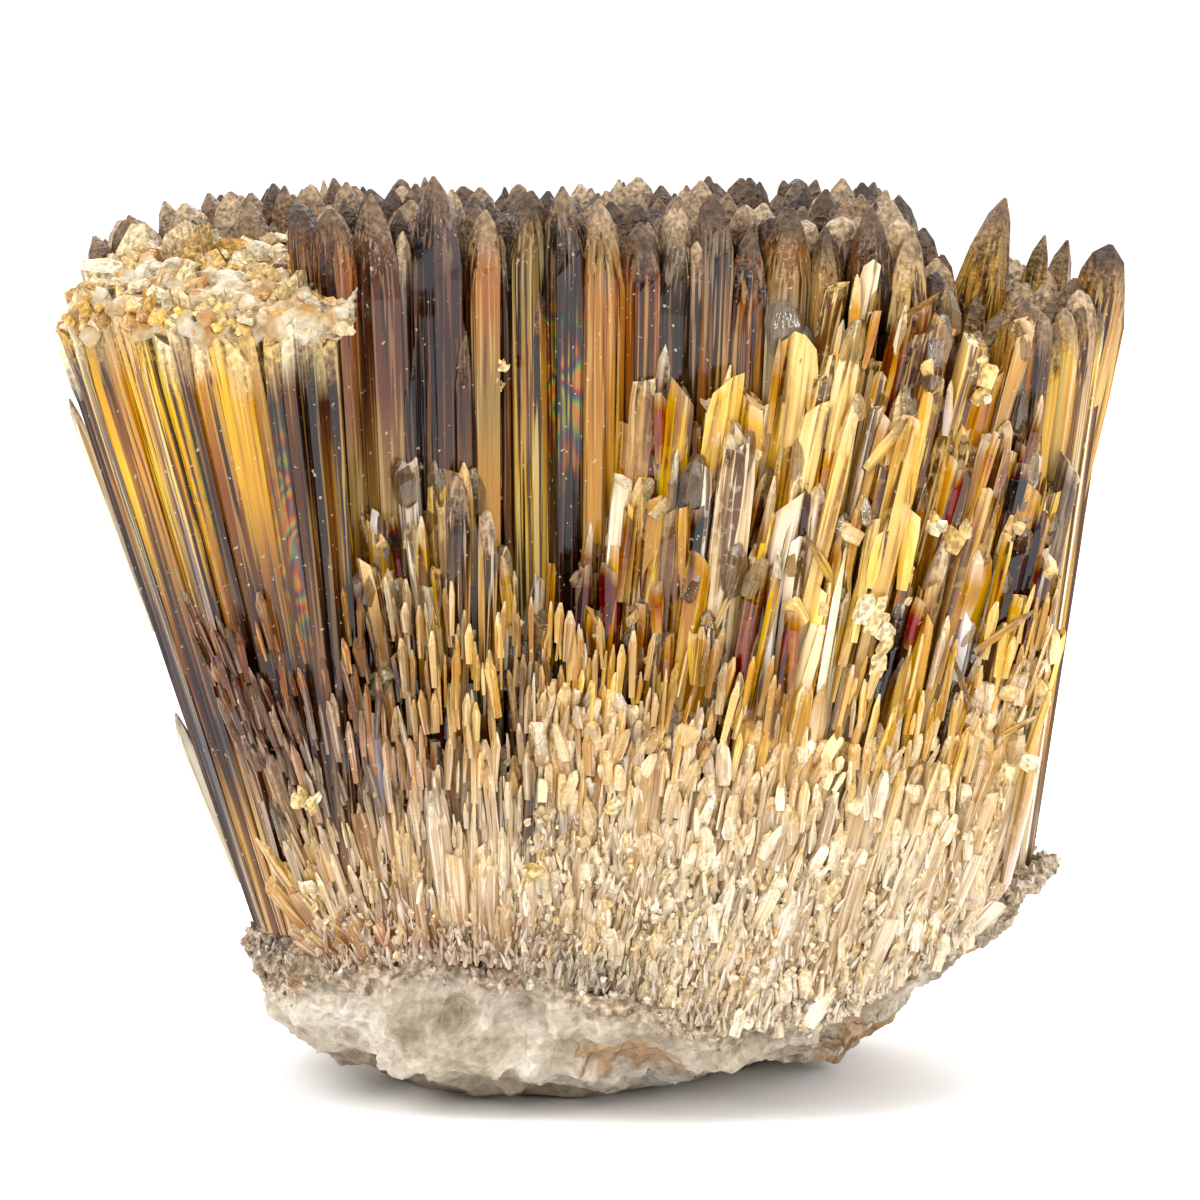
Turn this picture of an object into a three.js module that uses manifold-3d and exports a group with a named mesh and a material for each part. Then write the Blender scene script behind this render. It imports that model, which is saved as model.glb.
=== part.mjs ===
// Amber calcite specimen: a fan of calcite columns that grew side by side on a lump of pale limestone.
// Millimetres, +Z up. The broken front of the fan faces -Y, and +X is to the right of a person who faces it.
// The origin is on the surface that the specimen stands on, under the middle of its bounding box.
import * as THREE from 'three';
import { mergeVertices } from 'three/addons/utils/BufferGeometryUtils.js';
import Module from 'manifold-3d';

// Driving dimensions

// Plan of the fan at the height of its crystal tips. A power of 2 is an ellipse, and more is squarer.
const crown = { x: -2, y: 2, halfWidth: 61, halfDepth: 34, power: 2.7, level: 95 };
const crownPitch = 10;         // spacing of the crystals inside that plan
const crownShare = 0.86;        // they fill this share of it
const edgeShare = 0.945;        // and its edge has a row of its own here
const edgePitch = { front: 5.6, back: 8.4 };
const tipLength = 8.5;
const tipUneven = 2.4;

// Where a column of the crown has its foot: pairs of the crown's x and the foot's x. The left leans out.
const footXs = [
  [-63, -32], [-60, -31], [-52, -27], [-45, -24.8], [-38, -24], [-28, -23.2], [-20, -17.6], [-13, -12.4],
  [-6, -5.6], [5, 4], [12, 9], [23, 17.5], [34, 27], [42, 33.5], [50, 39.5], [60, 47],
];
const footDepthShare = 0.83;    // the same along y, where the fan only narrows

// Height of the crown's tips along x, and how far it falls at the front and the back. It dips at x 40.
const crownTops = [
  [-63, 83], [-60, 87], [-57, 91], [-52, 94.5], [-46, 95], [-42, 96.5], [-35, 97.5], [30, 97.5],
  [35, 96], [37.5, 92], [39.5, 86], [42, 86], [46, 89], [52, 89], [60, 85],
];
const crownFall = { front: 3, back: 1.5 };

// The front of the fan is broken away. On the left its columns end in one rough ledge that rises to the back.
const leftLedge = { right: -29, depth: 21, height: 86.5, rise: 0.32 };
// Further right the whole columns stand back from the edge, and their tips are at these places along x and z.
const setBack = { depth: 9.5, rowDepth: 11, left: -29, right: 46, width: 7 };
const frontTips = [
  [-27.6, 98.5], [-23, 100], [-17, 102], [-11.8, 98.4], [-7, 100.4], [-2.8, 101], [0.8, 99.5], [5, 97],
  [9, 98.5], [12.6, 100], [16.6, 96.5], [20.6, 98.5], [25.2, 96.5], [29.4, 98.5], [33.6, 96], [37.4, 88],
  [42, 85],
];

// Rows of broken columns in front of those: how far in from the rock's front edge they start, and their
// tops along x
const brokenRows = [
  {
    inset: 7.4, left: -24, right: 51, pitch: 5.8, width: 8, uneven: 3.5,
    tops: [
      [-24, 72], [-14, 70], [-10, 65], [-8, 53], [-2, 55], [1, 69], [4, 71], [6, 81], [18, 80], [21, 88],
      [30, 87], [38, 82], [44, 75], [51, 66],
    ],
  },
  {
    inset: 4.6, left: -22, right: 50, pitch: 5.4, width: 7.2, uneven: 4.5,
    tops: [[-22, 52], [-10, 47], [0, 53], [8, 60], [16, 66], [24, 72], [32, 66], [40, 60], [50, 55]],
  },
  {
    inset: 2, left: -43, right: 50, pitch: 5.2, width: 6.2, uneven: 3.5,
    tops: [[-43, 32], [-28, 34], [-16, 38], [0, 42], [12, 39], [24, 44], [36, 41], [50, 38]],
  },
];
const brokenLevel = 60;         // the height at which their x is taken
const brokenFootXs = [
  [-50, -30], [-36, -25], [-24, -20], [-10, -9], [0, -4], [8, 0.5], [20, 7], [30, 14], [40, 25],
  [47, 36], [52, 44],
];
const brokenLeanOut = 0.03;     // how fast they lean out to the front

// Crystals that stand out from the rest
const standOuts = [
  { foot: [36, 0, 50], head: [44.3, -3, 98.5], width: 8.4, outline: 'spindle', turn: 0.2 },
  { foot: [45.5, -4, 38], head: [56.2, -6, 92.8], width: 8, outline: 'spindle', turn: 0.5 },
  { foot: [43, -14, 40], head: [51.6, -16, 86], width: 7, outline: 'spindle', turn: 0.1 },
  { foot: [42, 2, 45], head: [49.6, 3, 94], width: 7, outline: 'spindle', turn: 0.7 },
  { foot: [44, 8, 45], head: [52, 9, 93], width: 7, outline: 'spindle', turn: 0.4 },
  { foot: [28, 6, 50], head: [31.6, 8, 98.6], width: 12, outline: 'spindle', turn: 0.3 },
  { foot: [12, 16, 50], head: [13.6, 19, 99.4], width: 9, outline: 'spindle', turn: 0.4 },
];

// The rock under the fan: the height of its top, where the crystals start, and of its underside at the
// front, along x
const rockTops = [
  [-37, 16], [-34, 17.4], [-29, 18.5], [-16, 20.4], [-4, 19.2], [4.5, 15.4], [13, 13], [27, 14.2],
  [39, 21], [50, 25.8],
];
const rockUndersides = [
  [-38, 9.5], [-35, 7], [-32, 6.4], [-30, 8], [-27.5, 6.6], [-25, 5.6], [-21.5, 4.6], [-19, 3], [-12.5, 3.8],
  [-9, 5.6], [-6, 4], [-3, 3.6], [0, 6], [9, 6], [17, 7.2], [21.5, 10], [26, 13], [30, 16], [34.5, 18],
  [41, 19], [45, 20.6], [50, 23],
];
const rockPlan = { x: 6.2, y: 2, halfWidth: 44.4, halfDepth: 32, power: 3 };
const rockLumps = 1.8;          // how rough its broken faces are
const restTouches = [           // it stands on these, where it is flat: place and radius
  { x: -15, y: -4.5, radius: 7 }, { x: -3, y: -4, radius: 7 }, { x: 9, y: 7, radius: 7 },
  { x: 15, y: 18, radius: 8 }, { x: -17, y: 15, radius: 8.5 }, { x: 0, y: 14, radius: 8 },
];
const restRise = 0.34;          // how fast the underside rises away from them
const restDepth = 0.8;          // how much of each touch is levelled off

const rockGap = 0.35;           // the crystals stay at least this far off the rock
const buriedDepth = 4;          // a column starts this far below the rock's top, before it is cut there
const cutLevel = -30;

// Colours, roughness and metalness
const amberMaterial = new THREE.MeshStandardMaterial({ color: 0x9a6a2c, roughness: 0.22, metalness: 0 });
const limestoneMaterial = new THREE.MeshStandardMaterial({ color: 0xb9aea0, roughness: 0.9, metalness: 0 });

const wasm = await Module();
wasm.setup();

// A repeatable random number from 0 to 1
let seed = 20417;
function random() {
  seed = (seed * 1664525 + 1013904223) % 4294967296;
  return seed / 4294967296;
}
const between = (low, high) => low + (high - low) * random();

// The value at x of a line through pairs of x and value
function along(pairs, x) {
  const last = pairs.length - 1;
  if (x <= pairs[0][0]) return pairs[0][1];
  if (x >= pairs[last][0]) return pairs[last][1];
  const i = pairs.findIndex(([px]) => px > x);
  const [x0, v0] = pairs[i - 1];
  const [x1, v1] = pairs[i];
  return v0 + ((v1 - v0) * (x - x0)) / (x1 - x0);
}

// 0 in the middle of a rounded oblong plan, 1 on its edge, for a place measured from its middle
function planShare(x, y, { halfWidth, halfDepth, power }) {
  return (Math.abs(x / halfWidth) ** power + Math.abs(y / halfDepth) ** power) ** (1 / power);
}

// The y of the front edge of such a plan at x
function frontOf(x, plan) {
  const side = Math.min(Math.abs((x - plan.x) / plan.halfWidth), 1) ** plan.power;
  return plan.y - plan.halfDepth * (1 - side) ** (1 / plan.power);
}

// Slow uneven lumps for broken rock, about -1 to 1
function lumps(x, y, z) {
  return (
    0.5 * Math.sin(0.31 * x + 0.17 * z + 1.3) * Math.cos(0.27 * y - 0.11 * x) +
    0.3 * Math.sin(0.73 * x - 0.41 * y + 2.1) +
    0.2 * Math.cos(0.97 * y + 0.83 * z + 0.6 * x)
  );
}

// Shapes as solids

function solidOf(geometry) {
  geometry.deleteAttribute('normal');
  geometry.deleteAttribute('uv');
  const merged = mergeVertices(geometry, 1e-4);
  const index = merged.index.array;
  const kept = [];
  for (let i = 0; i < index.length; i += 3) {
    const [a, b, c] = [index[i], index[i + 1], index[i + 2]];
    if (a !== b && b !== c && c !== a) kept.push(a, b, c);
  }
  return new wasm.Manifold(
    new wasm.Mesh({
      numProp: 3,
      vertProperties: new Float32Array(merged.attributes.position.array),
      triVerts: new Uint32Array(kept),
    }),
  );
}

function moveVertices(geometry, move) {
  const places = geometry.attributes.position;
  const point = new THREE.Vector3();
  for (let i = 0; i < places.count; i += 1) {
    point.fromBufferAttribute(places, i);
    move(point);
    places.setXYZ(i, point.x, point.y, point.z);
  }
  return geometry;
}

// Joins many solids two by two, so that no join has to work on the whole fan until the last ones
function joinAll(solids) {
  let level = solids;
  while (level.length > 1) {
    const next = [];
    for (let i = 0; i < level.length; i += 2) {
      next.push(i + 1 < level.length ? level[i].add(level[i + 1]) : level[i]);
    }
    level = next;
  }
  return level[0];
}

// Outlines of a column: pairs of the share of its length and the part of its width
const outlines = {
  pointed: (length) => [[0, 0.72], [1 - tipLength / length, 1], [1, 0]],
  broken: () => [[0, 0.74], [1, 1]],
  spindle: () => [[0, 0.5], [0.6, 0.92], [0.78, 1], [0.9, 0.66], [1, 0]],
};

// One six-sided calcite column from foot to head, which ends in a point or in a slanting break
function column({ foot, head, width, outline, flat = 1, turn = 0, breakSlope = null }) {
  const axis = head.clone().sub(foot);
  const length = axis.length();
  const rings = outlines[outline](length).map(
    ([share, part]) => new THREE.Vector2((part * width) / 2, share * length),
  );
  const profile = [new THREE.Vector2(0, 0), ...rings];
  if (profile.at(-1).x > 0) profile.push(new THREE.Vector2(0, length));
  const geometry = new THREE.LatheGeometry(profile, 6);
  geometry.rotateX(Math.PI / 2);
  moveVertices(geometry, (p) => {
    p.y *= flat;
    if (breakSlope && p.z > length / 2) p.z += breakSlope.x * p.x + breakSlope.y * p.y;
  });
  geometry.rotateZ(turn);
  const upright = new THREE.Quaternion().setFromUnitVectors(new THREE.Vector3(0, 0, 1), axis.normalize());
  geometry.applyQuaternion(upright);
  geometry.translate(foot.x, foot.y, foot.z);
  return solidOf(geometry);
}

// The crown

const footOf = (x, y) => new THREE.Vector3(along(footXs, x), crown.y + (y - crown.y) * footDepthShare, 0);

// A column that passes the crown's plan at x, y and ends at the height top
function fanColumn(x, y, top, options) {
  const low = footOf(x, y);
  const high = new THREE.Vector3(x, y, crown.level);
  const start = along(rockTops, low.x) - buriedDepth;
  const foot = low.clone().lerp(high, start / crown.level);
  const head = low.clone().lerp(high, top / crown.level);
  return column({ foot, head, ...options });
}

function crownTop(x, y) {
  const across = (y - crown.y) / crown.halfDepth;
  return along(crownTops, x) - (across < 0 ? crownFall.front : crownFall.back) * across * across;
}

// Adds the column at one place of the crown: a broken one on the left ledge, none in front of the row set
// back, and a pointed one elsewhere
function addCrownColumn(made, x, y, width) {
  const depth = y - frontOf(x, crown);
  const turn = between(0, Math.PI / 3);
  const flat = between(0.82, 1);
  if (x < leftLedge.right && depth < leftLedge.depth) {
    const breakSlope = { x: between(-0.2, 0.3), y: between(0.1, 0.5) };
    const ledge = leftLedge.height + leftLedge.rise * depth;
    const top = Math.min(ledge, crownTop(x, y) - 2.5) + between(-1, 1);
    made.push(fanColumn(x, y, top, { width, outline: 'broken', flat, turn, breakSlope }));
  } else if (x < setBack.left || x > setBack.right || depth > setBack.depth) {
    const top = crownTop(x, y) + between(-tipUneven, tipUneven);
    made.push(fanColumn(x, y, top, { width, outline: 'pointed', flat, turn }));
  }
}

// Crystals on rows set half a pitch apart
function crownColumns() {
  const made = [];
  const rowPitch = crownPitch * Math.sin(Math.PI / 3);
  const rows = Math.floor(crown.halfDepth / rowPitch);
  const perRow = Math.ceil(crown.halfWidth / crownPitch);
  for (let row = -rows; row <= rows; row += 1) {
    for (let i = -perRow; i <= perRow; i += 1) {
      const x = crown.x + (i + (row % 2 ? 0.5 : 0)) * crownPitch + between(-1.1, 1.1);
      const y = crown.y + row * rowPitch + between(-0.9, 0.9);
      const share = planShare(x - crown.x, y - crown.y, crown);
      if (share < crownShare) addCrownColumn(made, x, y, 1.3 * crownPitch);
    }
  }
  return made;
}

// Crystals along the edge of the plan, closer together at the front
function edgeColumns() {
  const made = [];
  const steps = 720;
  let walked = 0;
  let last = new THREE.Vector2(crown.x + edgeShare * crown.halfWidth, crown.y);
  for (let step = 1; step <= steps; step += 1) {
    const angle = (2 * Math.PI * step) / steps;
    const reach = edgeShare / planShare(Math.cos(angle), Math.sin(angle), crown);
    const place = new THREE.Vector2(crown.x + reach * Math.cos(angle), crown.y + reach * Math.sin(angle));
    walked += place.distanceTo(last);
    last = place;
    const pitch = place.y < crown.y ? edgePitch.front : edgePitch.back;
    if (walked < pitch) continue;
    walked = 0;
    addCrownColumn(made, place.x, place.y, pitch * between(1.2, 1.45));
  }
  return made;
}

// The front row that shows whole above the broken columns
function frontColumns() {
  return frontTips.map(([x, top]) => {
    const y = frontOf(x, crown) + setBack.rowDepth + between(-0.8, 0.8);
    const width = setBack.width * between(0.85, 1.2);
    return fanColumn(x, y, top, { width, outline: 'pointed', turn: between(0, 1) });
  });
}

// The middle of the fan, which fills what the columns leave between them
function core() {
  const shares = [[0.87, 0], [0.91, 1], [0.6, 1], [0.3, 1]];
  const lowest = 8;
  const setBacks = [[-36, 1], [-27, 8.5], [44, 8.5], [52, 1]];
  const profile = [[0, 0], ...shares, [0, 1]].map(([share, level]) => new THREE.Vector2(share, level));
  const geometry = new THREE.LatheGeometry(profile, 24);
  geometry.rotateX(Math.PI / 2);
  moveVertices(geometry, (p) => {
    const share = Math.hypot(p.x, p.y);
    const edge = share > 0 ? planShare(p.x, p.y, crown) / share : 1;
    const x = crown.x + p.x / edge;
    const outY = p.y / edge;
    const y = crown.y + outY + along(setBacks, x) * Math.max(-outY / crown.halfDepth, 0);
    const z = lowest + (crownTop(x, y) - tipLength - lowest) * p.z;
    const foot = footOf(x, y);
    p.set(foot.x + ((x - foot.x) * z) / crown.level, foot.y + ((y - foot.y) * z) / crown.level, z);
  });
  return solidOf(geometry);
}

// The broken columns in front

function brokenColumns() {
  const made = [];
  for (const row of brokenRows) {
    for (let x = row.left; x <= row.right; x += row.pitch) {
      const footX = along(brokenFootXs, x) + between(-0.6, 0.6);
      const footZ = along(rockTops, footX) - buriedDepth;
      const headZ = along(row.tops, x) + between(-row.uneven, row.uneven);
      const height = headZ - footZ;
      const headX = footX + ((x - footX) * headZ) / brokenLevel;
      const footY = frontOf(footX, rockPlan) + row.inset + between(-0.7, 0.7);
      const foot = new THREE.Vector3(footX, footY, footZ);
      const head = new THREE.Vector3(headX, footY - brokenLeanOut * height, headZ);
      const breakSlope = { x: between(-0.4, 0.4), y: between(-0.1, 0.6) };
      const width = row.width * between(0.85, 1.15);
      made.push(column({ foot, head, width, outline: 'broken', flat: 0.9, turn: between(0, 1), breakSlope }));
    }
  }
  return made;
}

function standOutColumns() {
  return standOuts.map(({ foot, head, ...options }) =>
    column({ foot: new THREE.Vector3(...foot), head: new THREE.Vector3(...head), ...options }),
  );
}

// The rock

// Height of its underside: level on the touches, rising away from them and rising to the rim
function undersideAt(x, y, share) {
  const nearest = Math.min(...restTouches.map((t) => Math.hypot(x - t.x, y - t.y) - t.radius));
  const middle = restRise * nearest - restDepth + 0.7 * lumps(y, x, 9);
  const towardsRim = Math.min(Math.max((share - 0.55) / 0.36, 0), 1);
  return middle + (Math.max(along(rockUndersides, x), middle) - middle) * towardsRim;
}

// Its shape from rings: the share of the plan and the level, 0 on the underside and 1 on the top. A level
// under 0 is far below it. A lift raises the shape.
function rockShape(rings, lift) {
  const profile = [[0, rings.at(-1)[1]], ...[...rings].reverse(), [0, 1]];
  const points = profile.map(([share, level]) => new THREE.Vector2(share, level));
  const geometry = new THREE.LatheGeometry(points, 44);
  geometry.rotateX(Math.PI / 2);
  moveVertices(geometry, (p) => {
    const share = Math.hypot(p.x, p.y);
    const level = p.z;
    const edge = share > 0 ? planShare(p.x, p.y, rockPlan) / share : 1;
    const x = rockPlan.x + p.x / edge;
    const y = rockPlan.y + p.y / edge;
    const under = undersideAt(x, y, share);
    const top = along(rockTops, x) + lumps(x, y, 40);
    const z = level < -0.5 ? cutLevel : under + (top - under) * level + lift;
    const rough = share > 0.7 ? rockLumps : 0;
    p.set(x + rough * lumps(y, z - lift, x), y + rough * lumps(z - lift, x, y), z);
  });
  return solidOf(geometry);
}

const rockTopRings = [[0.3, 1], [0.58, 1], [0.82, 1], [0.95, 0.98]];
const rockSideRings = [[1, 0.74], [0.98, 0.4], [0.9, 0.12], [0.76, 0], [0.55, 0], [0.36, 0], [0.18, 0]];
const rock = rockShape([...rockTopRings, ...rockSideRings], 0).trimByPlane([0, 0, 1], 0);
const ground = rockShape([...rockTopRings, [1.03, 1], [1.5, 1], [1.5, -1]], 2 * rockGap);

// Builds the two pieces and puts them in one group, with the middle of the whole over the origin

const crownOnes = [...crownColumns(), ...edgeColumns(), ...frontColumns()];
const columns = [...crownOnes, ...brokenColumns(), ...standOutColumns()];
const fan = joinAll([core(), ...columns]).subtract(ground);
const crystals = fan.decompose().reduce((a, b) => (a.volume() > b.volume() ? a : b));

const { min, max } = crystals.boundingBox();
const toMiddle = [-(min[0] + max[0]) / 2, -(min[1] + max[1]) / 2, 0];

function meshOf(name, solid, material) {
  const { numProp, vertProperties, triVerts } = solid.translate(toMiddle).getMesh();
  const geometry = new THREE.BufferGeometry();
  const places = new Float32Array((vertProperties.length / numProp) * 3);
  for (let i = 0; i < places.length / 3; i += 1) {
    for (let k = 0; k < 3; k += 1) places[3 * i + k] = vertProperties[numProp * i + k];
  }
  geometry.setAttribute('position', new THREE.BufferAttribute(places, 3));
  geometry.setIndex(new THREE.BufferAttribute(new Uint32Array(triVerts), 1));
  geometry.computeVertexNormals();
  const mesh = new THREE.Mesh(geometry, material);
  mesh.name = name;
  return mesh;
}

const specimen = new THREE.Group();
specimen.name = 'amber_calcite_specimen';
specimen.add(meshOf('limestone_matrix', rock, limestoneMaterial));
specimen.add(meshOf('calcite_crystals', crystals, amberMaterial));

export default specimen;
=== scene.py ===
import math
import random

import bpy
import bmesh
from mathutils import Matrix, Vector, noise


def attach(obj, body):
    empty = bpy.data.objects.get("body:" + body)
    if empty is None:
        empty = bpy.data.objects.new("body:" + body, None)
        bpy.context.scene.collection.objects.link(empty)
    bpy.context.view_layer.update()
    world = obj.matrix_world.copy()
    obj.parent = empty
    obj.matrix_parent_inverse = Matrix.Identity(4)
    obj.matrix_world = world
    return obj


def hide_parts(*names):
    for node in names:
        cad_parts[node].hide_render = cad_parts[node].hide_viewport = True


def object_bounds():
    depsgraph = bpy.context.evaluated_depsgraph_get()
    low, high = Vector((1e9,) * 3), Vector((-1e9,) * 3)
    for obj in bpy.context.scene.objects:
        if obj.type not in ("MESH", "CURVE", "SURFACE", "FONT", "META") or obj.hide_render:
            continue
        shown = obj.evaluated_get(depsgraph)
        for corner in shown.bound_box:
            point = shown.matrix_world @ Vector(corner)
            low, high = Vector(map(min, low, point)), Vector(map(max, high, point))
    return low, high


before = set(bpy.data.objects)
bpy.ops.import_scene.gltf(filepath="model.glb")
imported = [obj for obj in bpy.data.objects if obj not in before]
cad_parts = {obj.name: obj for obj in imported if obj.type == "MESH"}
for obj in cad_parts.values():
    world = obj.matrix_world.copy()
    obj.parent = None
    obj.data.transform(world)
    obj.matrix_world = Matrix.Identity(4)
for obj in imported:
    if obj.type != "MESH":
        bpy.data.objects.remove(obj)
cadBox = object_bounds()
print("frame loaded", cadBox)

mm = 0.001
dice = random.Random(20417)
between = dice.uniform


def eitherWay(most):
    return between(-most, most)


# Colours, as they look on a screen from 0 to 255


def paint(red, green, blue):
    def toLight(part):
        share = part / 255
        return share / 12.92 if share <= 0.04045 else ((share + 0.055) / 1.055) ** 2.4

    return toLight(red), toLight(green), toLight(blue)


def shades(*colours):
    return [paint(*colour) for colour in colours]


def stops(*pairs):
    return [(spot, paint(*colour)) for spot, colour in pairs]


def mixed(first, second, share):
    return tuple(a + (b - a) * share for a, b in zip(first, second))


def fromRamp(ramp, share):
    spot = min(max(share, 0), 0.9999) * (len(ramp) - 1)
    step = int(spot)
    return mixed(ramp[step], ramp[step + 1], spot - step)


# Nodes. A value given to a socket is a number, a colour or another node's output.


def newMaterial(name):
    material = bpy.data.materials.new(name)
    material.use_nodes = True
    return material, material.node_tree, material.node_tree.nodes["Principled BSDF"]


def addNode(tree, kind, **settings):
    node = tree.nodes.new(kind)
    for key, value in settings.items():
        setattr(node, key, value)
    return node


def feed(tree, value, socket):
    if isinstance(value, (int, float)):
        socket.default_value = value
    elif isinstance(value, tuple):
        socket.default_value = (*value, 1)
    else:
        tree.links.new(value, socket)


def addRamp(tree, source, colours):
    ramp = addNode(tree, "ShaderNodeValToRGB")
    while len(ramp.color_ramp.elements) < len(colours):
        ramp.color_ramp.elements.new(0.5)
    for element, (spot, colour) in zip(ramp.color_ramp.elements, colours):
        element.position = spot
        element.color = (*colour, 1)
    feed(tree, source, ramp.inputs["Fac"])
    return ramp.outputs["Color"]


def addMix(tree, first, second, factor, blend="MIX"):
    mix = addNode(tree, "ShaderNodeMix", data_type="RGBA", blend_type=blend, clamp_result=blend == "MIX")
    for value, socket in ((first, "A"), (second, "B"), (factor, "Factor")):
        feed(tree, value, mix.inputs[socket])
    return mix.outputs["Result"]


def addNoise(tree, place, scale, detail):
    clouds = addNode(tree, "ShaderNodeTexNoise")
    clouds.inputs["Scale"].default_value = scale
    clouds.inputs["Detail"].default_value = detail
    feed(tree, place, clouds.inputs["Vector"])
    return clouds.outputs["Fac"]


def addRange(tree, source, old, new):
    spread = addNode(tree, "ShaderNodeMapRange")
    for name, value in zip(("From Min", "From Max", "To Min", "To Max"), (*old, *new)):
        spread.inputs[name].default_value = value
    feed(tree, source, spread.inputs["Value"])
    return spread.outputs["Result"]


def addMath(tree, operation, first, second=0.0, third=0.0, clamp=False):
    node = addNode(tree, "ShaderNodeMath", operation=operation, use_clamp=clamp)
    for socket, value in zip(node.inputs, (first, second, third)):
        feed(tree, value, socket)
    return node.outputs["Value"]


def addPower(tree, colour, power):
    gamma = addNode(tree, "ShaderNodeGamma")
    gamma.inputs["Gamma"].default_value = power
    feed(tree, colour, gamma.inputs["Color"])
    return gamma.outputs["Color"]


def addBump(tree, shader, height, strength, distance):
    bump = addNode(tree, "ShaderNodeBump")
    bump.inputs["Strength"].default_value = strength
    bump.inputs["Distance"].default_value = distance * mm
    feed(tree, height, bump.inputs["Height"])
    feed(tree, bump.outputs["Normal"], shader.inputs["Normal"])


def readAttribute(tree, name, output="Fac"):
    return addNode(tree, "ShaderNodeAttribute", attribute_name=name).outputs[output]


def objectPlace(tree):
    return addNode(tree, "ShaderNodeTexCoord").outputs["Object"]


# Camera, light and floor, in metres

cameraSetup = {"target": (0.0025, 0.0, 0.0529), "distance": 0.6, "elevation": 8.0, "lens": 160.6}
lampSetup = [  # name, place, size, power, colour
    ("keyLamp", (-0.6, -0.6, 0.8), 0.6, 5.8, (1.0, 0.99, 0.97)),
    ("fillLamp", (0.8, -0.5, 0.45), 0.7, 4.0, (0.98, 0.99, 1.0)),
    ("backLamp", (0.1, 0.7, 0.7), 0.7, 7.0, (1.0, 1.0, 1.0)),
    ("glintLampLeft", (-0.5, -0.8, 0.5), 0.2, 1.5, (1.0, 1.0, 1.0)),
    ("glintLampTop", (0.05, -0.5, 1.0), 0.24, 1.8, (1.0, 1.0, 1.0)),
    ("glintLampRight", (0.5, -0.75, 0.35), 0.2, 1.3, (1.0, 1.0, 1.0)),
]
skyLight = {
    "colour": (0.97, 0.98, 1.0), "upward": (0.0, 0.45, 0.89), "slope": (-0.15, 0.4), "level": (0.25, 1.35),
}
paper = {"size": 40.0, "colour": (0.93, 0.93, 0.93), "roughness": 0.8}


def addCamera():
    target = Vector(cameraSetup["target"])
    up = math.radians(cameraSetup["elevation"])
    away = Vector((0, -math.cos(up), math.sin(up))) * cameraSetup["distance"]
    camera = bpy.data.objects.new("mainCamera", bpy.data.cameras.new("mainCamera"))
    camera.data.lens = cameraSetup["lens"]
    camera.data.sensor_width = 36.0
    camera.data.clip_start = 0.01
    camera.location = target + away
    camera.rotation_euler = (-away).to_track_quat("-Z", "Y").to_euler()
    bpy.context.scene.collection.objects.link(camera)
    bpy.context.scene.camera = camera


def addLights():
    target = Vector((0, 0, 0.05))
    for name, at, size, power, colour in lampSetup:
        light = bpy.data.lights.new(name, "AREA")
        light.size = size
        light.energy = power
        light.color = colour
        holder = bpy.data.objects.new(name, light)
        holder.location = at
        holder.rotation_euler = (target - Vector(at)).to_track_quat("-Z", "Y").to_euler()
        bpy.context.scene.collection.objects.link(holder)
    world = bpy.data.worlds.new("studio")
    world.use_nodes = True
    tree = world.node_tree
    background = tree.nodes["Background"]
    slope = addNode(tree, "ShaderNodeVectorMath", operation="DOT_PRODUCT")
    slope.inputs[1].default_value = skyLight["upward"]
    feed(tree, addNode(tree, "ShaderNodeTexCoord").outputs["Generated"], slope.inputs[0])
    level = addRange(tree, slope.outputs["Value"], skyLight["slope"], skyLight["level"])
    feed(tree, level, background.inputs["Strength"])
    feed(tree, skyLight["colour"], background.inputs["Color"])
    bpy.context.scene.world = world
    bpy.context.scene.view_settings.view_transform = "Standard"


def addFloor():
    bpy.ops.object.select_all(action="DESELECT")
    bpy.ops.mesh.primitive_plane_add(size=paper["size"], location=(0, 0, 0))
    floor = bpy.context.object
    floor.name = "studioFloor"
    material, tree, shader = newMaterial("palePaper")
    feed(tree, paper["colour"], shader.inputs["Base Color"])
    feed(tree, paper["roughness"], shader.inputs["Roughness"])
    floor.data.materials.append(material)


addCamera()
addLights()
addFloor()
print("camera, lights and floor")

# The fan's own measures, the same as the solid's, in millimetres from here on. Pairs are x and value.

fanShift = (1.825, -3.835)
crown = {"x": -2, "y": 2, "halfWidth": 61, "halfDepth": 34, "power": 2.7, "level": 95}
rockPlan = {"x": 6.2, "y": 2, "halfWidth": 44.4, "halfDepth": 32, "power": 3}
footXs = [
    (-63, -32), (-60, -31), (-52, -27), (-45, -24.8), (-38, -24), (-28, -23.2), (-20, -17.6), (-13, -12.4),
    (-6, -5.6), (5, 4), (12, 9), (23, 17.5), (34, 27), (42, 33.5), (50, 39.5), (60, 47),
]
footDepthShare = 0.83
crownTops = [
    (-63, 83), (-60, 87), (-57, 91), (-52, 94.5), (-46, 95), (-42, 96.5), (-35, 97.5), (30, 97.5),
    (35, 96), (37.5, 92), (39.5, 86), (42, 86), (46, 89), (52, 89), (60, 85),
]
crownFall = {"front": 3, "back": 1.5}
leftLedge = {"right": -29, "depth": 21, "height": 86.5, "rise": 0.32}
setBack = {"hidden": 16, "left": -29, "right": 46}
rockTops = [
    (-37, 16), (-34, 17.4), (-29, 18.5), (-16, 20.4), (-4, 19.2), (4.5, 15.4), (13, 13), (27, 14.2),
    (39, 21), (50, 25.8),
]
brokenFootXs = [
    (-50, -30), (-36, -25), (-24, -20), (-10, -9), (0, -3), (8, 2.5), (20, 11), (30, 19), (40, 29.5),
    (47, 38), (52, 44.5),
]
brokenLevel = 60


def along(pairs, x):
    if x <= pairs[0][0]:
        return pairs[0][1]
    for (x0, v0), (x1, v1) in zip(pairs, pairs[1:]):
        if x < x1:
            return v0 + (v1 - v0) * (x - x0) / (x1 - x0)
    return pairs[-1][1]


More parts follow.
